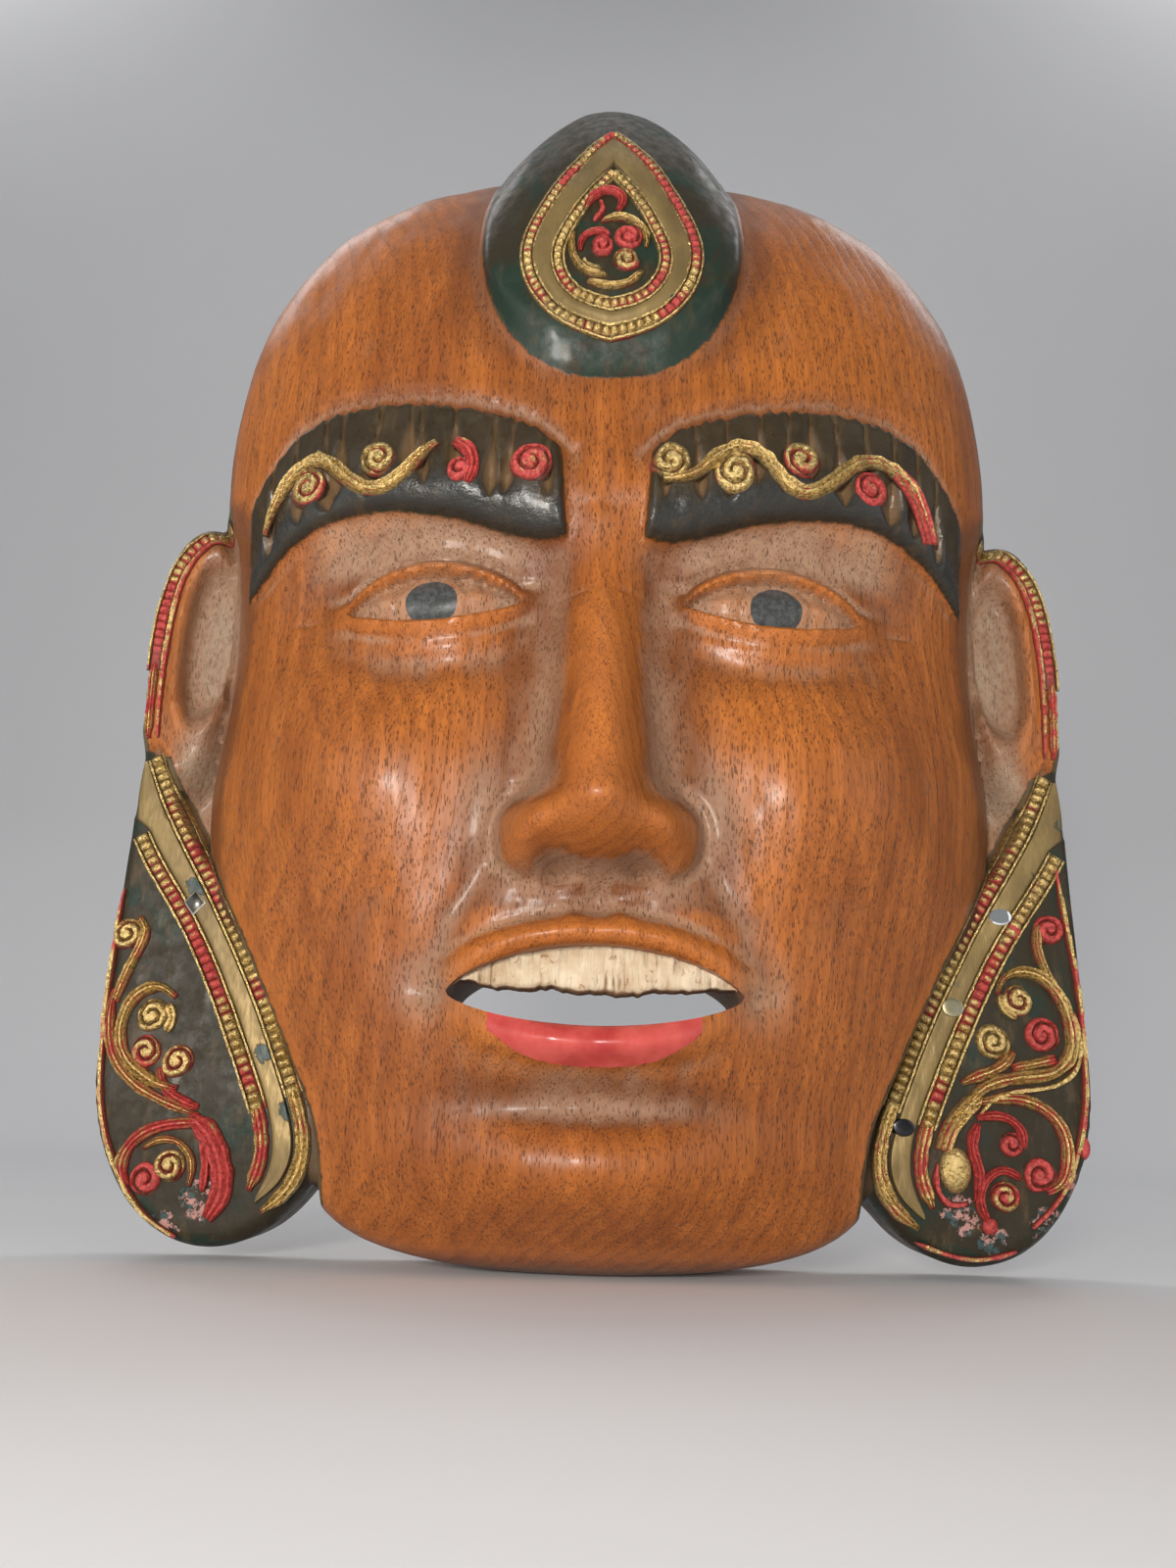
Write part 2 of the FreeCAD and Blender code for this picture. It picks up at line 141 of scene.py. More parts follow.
def mouth_top(a):
    return MOUTH_T + 9.5 * np.clip(1 - (a / MOUTH_X) ** 2, 0, 1) ** 0.75


def mouth_low(a):
    return MOUTH_T - 6.5 * np.clip(1 - (a / MOUTH_X) ** 2, 0, 1) ** 0.7


def head(a, t):
    s = np.minimum(a / curve(WIDTH, t), 1.0)
    return RIM_H + (curve(DEPTH, t) - RIM_H) * (1 - s**2.5) ** 0.55


def eye(a, t):
    """Eyeball, lids and creases, as heights; and how far inside the lids a point is."""
    e, f = (a - EYE_X) / 19.5, t - EYE_T
    arch = np.clip(1 - e**2, 0, 1)
    up = 7.6 * arch**0.75 - 0.8 * e
    low = -5.2 * arch**0.9 - 0.8 * e
    inside = np.minimum(up - f, f - low)
    near = np.exp(-(e**2 * 0.8) ** 3)
    lids = 8.6 * np.exp(-(e**2 + (f / 12.5) ** 2) ** 2)
    ball = -2.6 * ramp(inside, -0.3, 0.6) + 2.1 * ramp(inside, 0.4, 6.0)
    lash = 0.9 * bell(inside, -1.3, 0.9) * near
    crease = -2.1 * bell(f - up, 4.4, 1.15) * near
    fold = -0.7 * bell(f - low, -4.6, 1.5) * near
    r = np.hypot(a - EYE_X, f)
    iris = -0.55 * bell(r, 8.1, 0.55) * ramp(inside, 0.2, 1.2)
    return lids + ball + lash + crease + fold + iris, inside


def nose(a, t):
    ridge = curve(NOSE_H, t) * np.exp(-np.abs(a / curve(NOSE_W, t)) ** 2.4)
    wing = 10.5 * bump(a, t, 14.3, 85.5, 5.6, 6.6)
    tip = 1.6 * bump(a, t, 0, 89, 7, 6)
    nostril = -7.5 * bump(a, t, 8.6, 79.8, 3.9, 2.7)
    round_wing = np.hypot(a - 13.5, (t - 87) / 1.15)
    groove = -1.6 * bell(round_wing, 8.6, 1.5) * ramp(a, 12, 18)
    return ridge + wing + tip + nostril + groove


def lips(a, t):
    over, under = t - mouth_top(a), mouth_low(a) - t
    wide = np.exp(-(a / 27.0) ** 4)
    bow = 1.0 * bump(a, t, 4.5, 71, 3.0, 2.2) - 1.3 * bump(a, t, 0, 74, 2.8, 4.5)
    upper = (4.6 * bell(over, 2.6, 3.1) - 0.9 * bell(over, 7.0, 1.2)) * wide
    lower = 6.0 * bell(under, 3.6, 4.3) * np.exp(-(a / 23.0) ** 4)
    corner = -2.2 * bump(a, t, 32.5, 54.6, 4.2, 3.6)
    return bow + upper + lower + corner


def brow_edges(x, t):
    """How far inside the raised brow plate a point is, with the ragged top edge."""
    a = np.abs(x)
    jag = 0.9 * np.abs(((x + 1.7 * np.sin(x * 0.31)) / 4.1) % 1.0 - 0.5) * 2
    side = np.minimum(a - 9.0 - 0.08 * (t - 155), 85.0 - a)
    return np.minimum(np.minimum(t - curve(BROW_LOW, a), curve(BROW_TOP, a) - jag - t), side)


# Cuts in the brows: place, lowest point as a share of the plate, half-width.
NOTCHES = [(13.0, 0.32, 0.7), (20.5, 0.22, 0.9), (27.0, 0.16, 1.0), (33.6, 0.24, 1.1), (40.0, 0.16, 0.8),
           (46.0, 0.26, 1.2), (52.6, 0.06, 1.5), (59.5, 0.16, 1.2), (65.6, 0.03, 1.6), (71.6, 0.08, 1.1),
           (77.2, 0.08, 0.9)]


def notches(x, t):
    """The tapering V cuts down the brow plates, as heights."""
    a = np.abs(x)
    low, top = curve(BROW_LOW, a), curve(BROW_TOP, a)
    u = (t - low) / (top - low)
    out = 0.7 * bell(u, 0.16, 0.16)
    for k, (cx, u0, w) in enumerate(NOTCHES):
        cx = cx + np.where(x < 0, 1.6 * math.sin(2.1 * k), 0) + (0.5 - u) * 2.6 * math.sin(1.3 * k)
        wedge = ramp(u, u0 - 0.02, u0 + 0.17) * (1 - ramp(u, u0 + 0.2, u0 + 0.6))
        wide = 0.6 + 1.65 * w * wedge
        deep = (0.8 + 0.2 * w + 1.5 * w * wedge) * ramp(u, u0, u0 + 0.06)
        out = out - deep * np.clip(1 - np.abs(a - cx) / wide, 0, 1)
    return out


def ear(a, t):
    q = ((a - 101.5) / 13) ** 2 + ((t - 139) / 37) ** 2
    dome = RIM_H + 10 * ramp(1.25 - q, 0, 0.6)
    dish = (np.abs((a - 96.3) / 6.2) ** 2.4 + np.abs((t - 141.5 + 0.35 * (a - 96)) / 20.5) ** 2.6)
    return dome - 4.6 * ramp(1 - dish, -0.15, 0.6) + 1.1 * bell(1 - dish, -0.5, 0.4)


def boss_inside(a, t):
    q = (a / BOSS_HALF) ** 2.3 + (np.abs(t - BOSS_MID) / np.where(t < BOSS_MID, BOSS_DOWN, BOSS_UP)) ** 2.3
    return 1 - q


def height(x, t, cuts=True):
    """Height of the finished carving above the wall, with or without the cuts in the brows."""
    x, t = np.asarray(x, float), np.asarray(t, float)
    a = np.abs(x)
    h = head(a, t) + nose(a, t) + lips(a, t) + eye(a, t)[0]
    socket, cheek, jaw = bump(a, t, 36, 144, 27, 15), bump(a, t, 50, 100, 24, 23), bump(a, t, 0, 56, 38, 22)
    h = h - 8 * socket + 8 * cheek + 5 * jaw
    h = h + 7 * bump(a, t, 0, 20, 26, 12) - 3 * bump(a, t, 0, 33, 24, 5)
    fold = bell(np.abs(a - (20 + 0.55 * (86 - t))), 0, 4.5)
    h = h - 1.5 * fold * ramp(t, 50, 62) * ramp(-t, -92, -80)
    plate = brow_edges(x, t)
    h = h + ramp(plate, -1.2, 0.9) * (3.0 + (notches(x, t) if cuts else 0.0))
    h = h - 1.2 * bell(plate, -3.0, 2.4) * ramp(t, 166, 176) * ramp(-a, -84, -72)
    lobe = ear(a, t) * ramp(a, 86, 91)
    h = np.where(a > 84, (h + lobe + np.sqrt((h - lobe) ** 2 + 1.2)) / 2, h)
    side = ramp(a, curve(LAPPET_X, t) - 1.6, curve(LAPPET_X, t) + 1.0) * ramp(-t, -118, -109)
    h = h + side * (curve(LAPPET_H, t) - h)
    raised = curve(BOSS_H, t + BOSS_ROUND * a * a) - 2 * (a / BOSS_HALF) ** 2
    soft = ramp(-t, -226, -200)
    h = h + ramp(boss_inside(a, t), -0.1 - 0.08 * soft, 0.12 + 0.3 * soft) * np.maximum(raised - h, 0)
    h = h + 0.2 * grain(x, t, 8, 3, 1.5) + 0.07 * grain(x, t, 2.6, 4, 2.2)
    return h


def hollow(x, t):
    """Height of the scooped-out back, with the ridges that the gouge left between its strokes."""
    q = (x / HOLLOW_X) ** 2 + ((t - HOLLOW_T) / HOLLOW_Z) ** 2
    deep = HOLLOW_H * np.sqrt(np.clip(1 - q, 0, 1))
    stroke = np.abs(np.sin(x * 0.3 + 1.1 * grain(x, t, 30, 8)))
    lift = np.abs(np.sin(t * 0.11 + 2.5 * np.sin(x * 0.19)))
    marks = 2.0 * (1 - stroke) + 1.3 * (1 - lift) + 0.3 * grain(x, t, 7, 9, 2.0)
    return deep - marks * ramp(1 - q, 0.04, 0.2)


def place(x, t, h):
    """Millimetres on the mask to the frame's metres."""
    return np.stack([np.asarray(x) / 1000, -np.asarray(h) / 1000, (np.asarray(t) - NAIL_T) / 1000], -1)


def outline():
    """The closed outline of the carving, anticlockwise seen from the front."""
    half = [spline(part, 0.25)[:-1] for part in (CHIN, LAPPET, SKULL, BOSS)]
    right = np.vstack(half + [[(0.0, TOP_T)]])
    left = right[1:-1][::-1] * (-1, 1)
    return np.vstack([right, left])


def mouth_loop():
    x = MOUTH_X * np.cos(np.linspace(0, math.pi, 200))
    top = np.stack([x, mouth_top(np.abs(x))], 1)
    low = np.stack([-x, mouth_low(np.abs(x))], 1)
    return np.vstack([top[:-1], low[:-1]])


def ring(cx, ct, rx, rt=None, n=400):
    w = np.linspace(0, 2 * math.pi, n, endpoint=False)
    return np.stack([cx + rx * np.cos(w), ct + (rt or rx) * np.sin(w)], 1)


# ---------------------------------------------------------------- meshes

def within(poly, x, t):
    """Whether points lie inside a closed polygon."""
    out = np.zeros(x.shape, bool)
    q = np.roll(poly, -1, 0)
    for (x0, t0), (x1, t1) in zip(poly, q):
        if t0 != t1:
            out ^= ((t0 > t) != (t1 > t)) & (x < (x1 - x0) * (t - t0) / (t1 - t0) + x0)
    return out


def tree(pts):
    k = KDTree(len(pts))
    for i, p in enumerate(pts):
        k.insert((p[0], p[1], 0), i)
    k.balance()
    return k


def sheet(xs, ts, loops):
    """A quad sheet over a grid, cut to the first loop, holed by the others, its rims moved onto the loops."""
    gx, gt = np.meshgrid(xs, ts)
    cx = (gx[:-1, :-1] + gx[1:, 1:]) / 2
    ct = (gt[:-1, :-1] + gt[1:, 1:]) / 2
    keep = within(loops[0][::4], cx, ct)
    for hole in loops[1:]:
        keep &= ~within(hole[::4], cx, ct)
    n = len(xs)
    j, i = np.nonzero(keep)
    quads = np.stack([j * n + i, j * n + i + 1, (j + 1) * n + i + 1, (j + 1) * n + i], 1)
    used, quads = np.unique(quads, return_inverse=True)
    quads = quads.reshape(-1, 4)
    pts = np.stack([gx.ravel()[used], gt.ravel()[used]], 1)
    edges = np.stack([quads, np.roll(quads, -1, 1)], -1).reshape(-1, 2)
    key = edges[:, 0] * len(pts) + edges[:, 1]
    back = edges[:, 1] * len(pts) + edges[:, 0]
    rim = edges[~np.isin(back, key)]
    trees = [tree(loop) for loop in loops]
    owner = np.full(len(pts), -1)
    for v in np.unique(rim):
        x, t = pts[v]
        hits = [k.find((x, t, 0)) for k in trees]
        best = min(range(len(hits)), key=lambda q: hits[q][2])
        owner[v] = best
        pts[v] = hits[best][0][:2]
    return welded(pts, quads, rim, owner)


def welded(pts, quads, rim, owner):
    """The sheet with rim vertices that landed on one place made into one, and no spare vertices."""
    first = {}
    one = np.arange(len(pts))
    for v in np.nonzero(owner >= 0)[0]:
        one[v] = first.setdefault((int(owner[v]), *np.round(pts[v], 4)), v)
    faces = []
    for q in one[quads].tolist():
        face = [v for v, w in zip(q, q[1:] + q[:1]) if v != w]
        if len(set(face)) == len(face) > 2:
            faces.append(face)
    rim = one[rim]
    rim = rim[rim[:, 0] != rim[:, 1]]
    used = np.unique(np.concatenate(faces))
    index = np.full(len(pts), -1)
    index[used] = np.arange(len(used))
    faces = [tuple(index[f]) for f in faces]
    return evened(pts[used], faces, owner[used]), faces, index[rim], owner[used]


def evened(pts, faces, owner, depth=4, rounds=12):
    """The vertices next to the rims moved to the middle of their neighbours, for even cells there."""
    ends = np.array([(v, w) for f in faces for v, w in zip(f, f[1:] + f[:1])])
    ends = np.unique(np.sort(ends, 1), axis=0)
    ends = np.vstack([ends, ends[:, ::-1]])
    near = owner >= 0
    for _ in range(depth):
        near = near | (np.bincount(ends[:, 0], near[ends[:, 1]], len(pts)) > 0)
    free = near & (owner < 0)
    count = np.bincount(ends[:, 0], None, len(pts))[:, None]
    for _ in range(rounds):
        total = [np.bincount(ends[:, 0], pts[ends[:, 1], k], len(pts)) for k in (0, 1)]
        pts = np.where(free[:, None], np.stack(total, 1) / count, pts)
    return pts


def wall(pts, rim, owner, which, tops, feet, rows, start):
    """Straight walls from one rim of the front down to the given feet: vertices, faces and foot places."""
    part = rim[owner[rim[:, 0]] == which]
    ids = np.unique(part)
    index = {v: k for k, v in enumerate(ids)}
    verts, faces = [], []
    for r in range(1, rows + 1):
        u = r / rows
        verts.append(place(pts[ids, 0], pts[ids, 1], tops[ids] * (1 - u) + feet[ids] * u))
    row = lambda r, v: v if r == 0 else start + (r - 1) * len(ids) + index[v]
    for a, b in part:
        for r in range(rows):
            faces.append((row(r, b), row(r, a), row(r + 1, a), row(r + 1, b)))
    return np.vstack(verts), faces, start + (rows - 1) * len(ids) + np.arange(len(ids))


def joined(xt, a, b, centre):
    """Triangles that close the gap between two rings of vertices round a centre, facing the wall."""
    def in_turn(ids):
        turn = np.arctan2(xt[ids, 1] - centre[1], xt[ids, 0] - centre[0]) / (2 * math.pi)
        order = np.argsort(turn)
        return ids[order], np.r_[turn[order], turn[order] + 1]

    (a, ta), (b, tb) = in_turn(a), in_turn(b)
    i = j = 0
    faces = []
    while i < len(a) or j < len(b):
        p, q = a[i % len(a)], b[j % len(b)]
        if j == len(b) or (i < len(a) and ta[i + 1] <= tb[j + 1]):
            i += 1
            face = (p, a[i % len(a)], q)
        else:
            j += 1
            face = (p, b[j % len(b)], q)
        (x0, t0), (x1, t1), (x2, t2) = xt[list(face)]
        area = (x1 - x0) * (t2 - t0) - (x2 - x0) * (t1 - t0)
        faces.append(face if area < 0 else face[::-1])
    return faces


def make(name, verts, faces, material, replaced, layers):
    """A smooth piece on the root body, with its layers stored at its vertices."""
    mesh = bpy.data.meshes.new(name)
    mesh.from_pydata([tuple(v) for v in verts], [], [tuple(int(i) for i in f) for f in faces])
    mesh.validate()
    for key, values in layers.items():
        layer = mesh.attributes.new(key, "FLOAT", "POINT")
        layer.data.foreach_set("value", np.asarray(values, np.float32))
    mesh.polygons.foreach_set("use_smooth", [True] * len(mesh.polygons))
    mesh.set_sharp_from_angle(angle=math.radians(50))
    mesh.materials.append(material)
    obj = bpy.data.objects.new(name, mesh)
    bpy.context.scene.collection.objects.link(obj)
    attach(obj, "root")
    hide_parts(*replaced)


def lines(*spans):
    """Grid lines: (start, end, spacing) spans joined end to end."""
    out = [np.linspace(a, b, int(round((b - a) / d)) + 1)[:-1] for a, b, d in spans]
    return np.r_[np.concatenate(out), spans[-1][1]]


def blurred(x, t, size):
    """The carving's height with features under `size` smoothed away."""
    s = size * 0.7
    around = [(math.cos(w) * s, math.sin(w) * s) for w in np.linspace(0, 2 * math.pi, 8, endpoint=False)]
    return sum(height(x + dx, t + dt) for dx, dt in around + [(0, 0)]) / 9


def back_faces(verts, faces, loops, feet):
    """The flat back, the bowl scooped out of it, the nail hole, and the eased edges between them."""
    def lay(xt, h, new=()):
        start = sum(map(len, verts))
        verts.append(place(xt[:, 0], xt[:, 1], h))
        faces.extend(tuple(i + start for i in q[::-1]) for q in new)
        return start

    def rim_of(start, rim, owner, which):
        return start + np.unique(rim[owner[rim[:, 0]] == which])

    across = np.unique(np.r_[lines((-113, 113, 2.5)), lines((-6, 6, 0.8))])
    along = lines((-1, 260, 2.5), (260, 276, 0.8), (276, 301, 2.0))
    bowl = ring(0, HOLLOW_T, HOLLOW_X + 1.5, HOLLOW_Z + 1.5, 1600)
    xt, quads, rim, owner = sheet(across, along, [offset(loops[0], 1.0), bowl, ring(0, NAIL_T, NAIL_R + 0.6)])
    start = lay(xt, np.zeros(len(xt)), quads)
    edge, brink, hole = (rim_of(start, rim, owner, k) for k in (0, 1, 2))

    low = 0.93  # the bowl's middle is a grid out to this share of its size, and rings run on from there
    bowl = ring(0, HOLLOW_T, HOLLOW_X * low, HOLLOW_Z * low, 1600)
    fine = lines((-75, 75, 1.8)), lines((28, 244, 2.2))
    xt, quads, rim, owner = sheet(*fine, [bowl, offset(loops[1], -1.0)])
    start = lay(xt, hollow(*xt.T), quads)
    lip, slot = (rim_of(start, rim, owner, k) for k in (0, 1))

    collar = [lip]
    foot = xt[lip - start] - (0, HOLLOW_T)
    for w in np.linspace(math.asin(low), math.pi / 2, 8)[1:]:
        grown = foot * math.sin(w) / low + (0, HOLLOW_T)
        h = np.maximum(hollow(*grown.T), EASE)
        collar.append(lay(grown, h) + np.arange(len(grown)))
    turn = np.argsort(np.arctan2(foot[:, 1], foot[:, 0]))
    for inner, outer in zip(collar, collar[1:]):
        for j, k in zip(turn, np.roll(turn, -1)):
            faces.append((inner[j], inner[k], outer[k], outer[j]))

    pit = ring(0, NAIL_T, NAIL_R, None, 40)
    rows = [lay(pit, np.full(len(pit), h)) + np.arange(len(pit)) for h in (0.6, NAIL_DEEP)]
    end = lay(np.array([(0.0, NAIL_T)]), np.array([NAIL_DEEP + 0.6]))
    for j in range(len(pit)):
        k = (j + 1) % len(pit)
        faces.append((rows[1][j], rows[1][k], rows[0][k], rows[0][j]))
        faces.append((end, rows[1][k], rows[1][j]))

    flat = np.vstack(verts)
    flat = np.stack([flat[:, 0] * 1000, flat[:, 2] * 1000 + NAIL_T], 1)
    middle = (0, HOLLOW_T)
    gaps = ((feet[0], edge, middle), (collar[-1], brink, middle), (rows[0], hole, (0, NAIL_T)),
            (feet[1], slot, (0, MOUTH_T + 2)))
    for a, b, centre in gaps:
        faces.extend(joined(flat, a, b, centre))


def carving(material):
    loops = [outline(), mouth_loop()]
    xs = lines((-113, -86, 0.85), (-86, -8, 0.6), (-8, 8, 0.8), (8, 86, 0.6), (86, 113, 0.85))
    ts = lines((-1, 38, 1.4), (38, 96, 0.95), (96, 124, 1.3), (124, 190, 0.87), (190, 301, 1.75))
    pts, quads, rim, owner = sheet(xs, ts, loops)
    x, t = pts.T
    tops = height(x, t)
    k = tree(loops[0])
    far = np.array([min(k.find((p[0], p[1], 0))[2], 5.0) for p in pts])
    r = np.where((np.abs(x) < 34) & (t > 281), 5.0, 3.2)  # the front edge is rounded, more so on the boss
    drop = r - np.sqrt(np.clip(r**2 - (r - np.minimum(far, r)) ** 2, 0, None))
    tops = tops - np.where(far < r, drop, 0)
    verts = [place(x, t, tops)]
    faces = [tuple(q) for q in quads]
    feet = []
    for which, rows, depth in ((0, 5, np.full(len(pts), EASE)), (1, 9, hollow(x, t) + EASE)):
        v, f, foot = wall(pts, rim, owner, which, tops, depth, rows, sum(map(len, verts)))
        verts.append(v)
        faces += f
        feet.append(foot)
    back_faces(verts, faces, loops, feet)
    verts = np.vstack(verts)
    make("carved_mask", verts, faces, material, ["carved_body"], body_layers(verts))


def body_layers(verts):
    """Where each paint, grime, painted shade and painted sheen lies: distances in mm inside each region,
    negative outside, or shares.
    """
    x, h, t = verts[:, 0] * 1000, -verts[:, 1] * 1000, verts[:, 2] * 1000 + NAIL_T
    a = np.abs(x)
    front = height(x, t)
    k = tree(outline())
    gap = np.array([k.find((p, q, 0))[2] for p, q in zip(x, t)])
    side = (gap < 0.02) & (h > 0.1)
    skin = np.where(side, 1.0, ramp(h, front - 9, front - 5))
    ahead = lambda value, behind: np.where(skin > 0.5, value, behind)
    plate = brow_edges(x, t)

    lappet = np.minimum(a - curve(LAPPET_X, t) + 2.2, LOBE_T - t + (a - 104) * 0.4)
    ear_rim = curve([(LOBE_T, 2.5), (140, 3.2), (160, 4.6), (176, 5.5)], t) - gap
    ear_rim = np.where((a > 92) & (t > LOBE_T) & (t < 176) & (h > 3), ear_rim, OFF)
    under = mouth_low(a) - t
    lip = np.minimum(np.minimum(under + 1.2, 7.6 * np.exp(-(a / 22.0) ** 4) - under), 21 - a)
    cavity = np.where(side, 0.0, np.clip((blurred(x, t, 5.0) - front) / 0.9, -1, 1))
    # Painted shade: broad hollows, and the head's sides low down, are marked here to be darkened as painted
    # shade.
    painted_broad_shade = np.clip((blurred(x, t, 17.0) - front) / 3.2, -1, 1)
    painted_broad_shade = painted_broad_shade + 0.9 * ramp(a / curve(WIDTH, t), 0.84, 1.0) * ramp(t, 60, 90)
    low, top = curve(BROW_LOW, a), curve(BROW_TOP, a)
    # The brows' lower band: glossier and crinkled, and painted greyer as a painted sheen.
    gloss_and_painted_sheen = bell((t - low) / (top - low), 0.16, 0.18) * (plate > -0.6)
    pale = bump(a, t, 95, 141, 6, 22) + bump(a, t, 96, 107, 5, 7)
    return {"boss": np.where(h > 3, boss_inside(a, t) * 14, OFF),
            "brow": ahead(plate, OFF),
            "lappet": np.maximum(lappet, ear_rim),
            "lip": np.where(h > front - 4, lip, OFF),
            "pupil": ahead(PUPIL_R - np.hypot(a - EYE_X, t - EYE_T), OFF),
            "cavity": ahead(cavity, 0.2),
            "painted_broad_shade": ahead(painted_broad_shade, 0.6),
            "cut": np.where(plate > -0.4, np.clip(-notches(x, t) / 1.7, 0, 1), 0),
            "gloss_and_painted_sheen": gloss_and_painted_sheen * skin,
            "pale": np.clip(pale, 0, 1) * skin,
            "dusty": dusty_places(a, t) * skin,
            "chip": chips(x, t) * ramp(h, 1.0, 4.0),
            "back": 1 - ramp(h, 0.5, 3.0) * skin}


def dusty_places(a, t):
    """Where hands never rub: between brow and lid, beside the nose, the mouth's corners, the ear's dish."""
    lid = ramp(t, EYE_T + 6, EYE_T + 12) * ramp(curve(BROW_LOW, a) - t, -0.5, 1.5)
    lid = lid * ramp(-a, -72, -60) * ramp(a, 12, 20)
    ball = ramp(eye(a, t)[1], -0.2, 0.8) * (np.abs(a - EYE_X) < 20)
    wings = ball + bump(a, t, 24, 92, 4, 10) + bump(a, t, 34, 56, 5, 6) + 0.8 * bump(a, t, 14, 76, 7, 4)
    dish = 1.4 * bump(a, t, 95.5, 141, 6, 21) + 1.5 * bump(a, t, 95.5, 107, 4.5, 8)
    return np.clip(lid + wings + dish, 0, 1)


# Flaked places: x, t and size.
CHIPS = [(80, 13, 4.5), (87, 8, 3.5), (99, 11.5, 4), (105, 20, 2.5), (-84, 13, 5), (-91, 7.5, 3),
         (-103, 14, 2.5), (-95, 6, 3), (0, 292, 4), (-6, 289, 3)]


def chips(x, t):
    """Closeness to the places where the lacquer has flaked."""
    return np.max([np.exp(-((x - cx) ** 2 + (t - ct) ** 2) / r**2) for cx, ct, r in CHIPS], 0)


def normals(path):
    """Unit vectors square to a path."""
    d = np.gradient(path, axis=0)
    d /= np.maximum(np.hypot(*d.T)[:, None], 1e-9)
    return np.stack([-d[:, 1], d[:, 0]], 1)


def offset(path, d):
    return path + d * normals(path)


def dome_faces(rings, seg):
    """Faces of a closed round piece: rings of seg vertices, its middle first, and its foot."""
    faces = [((i + 1) * seg + j, (i + 1) * seg + (j + 1) % seg, i * seg + (j + 1) % seg, i * seg + j)
             for i in range(rings) for j in range(seg)]
    return faces + [tuple(range(seg)), tuple(rings * seg + k for k in range(seg))[::-1]]


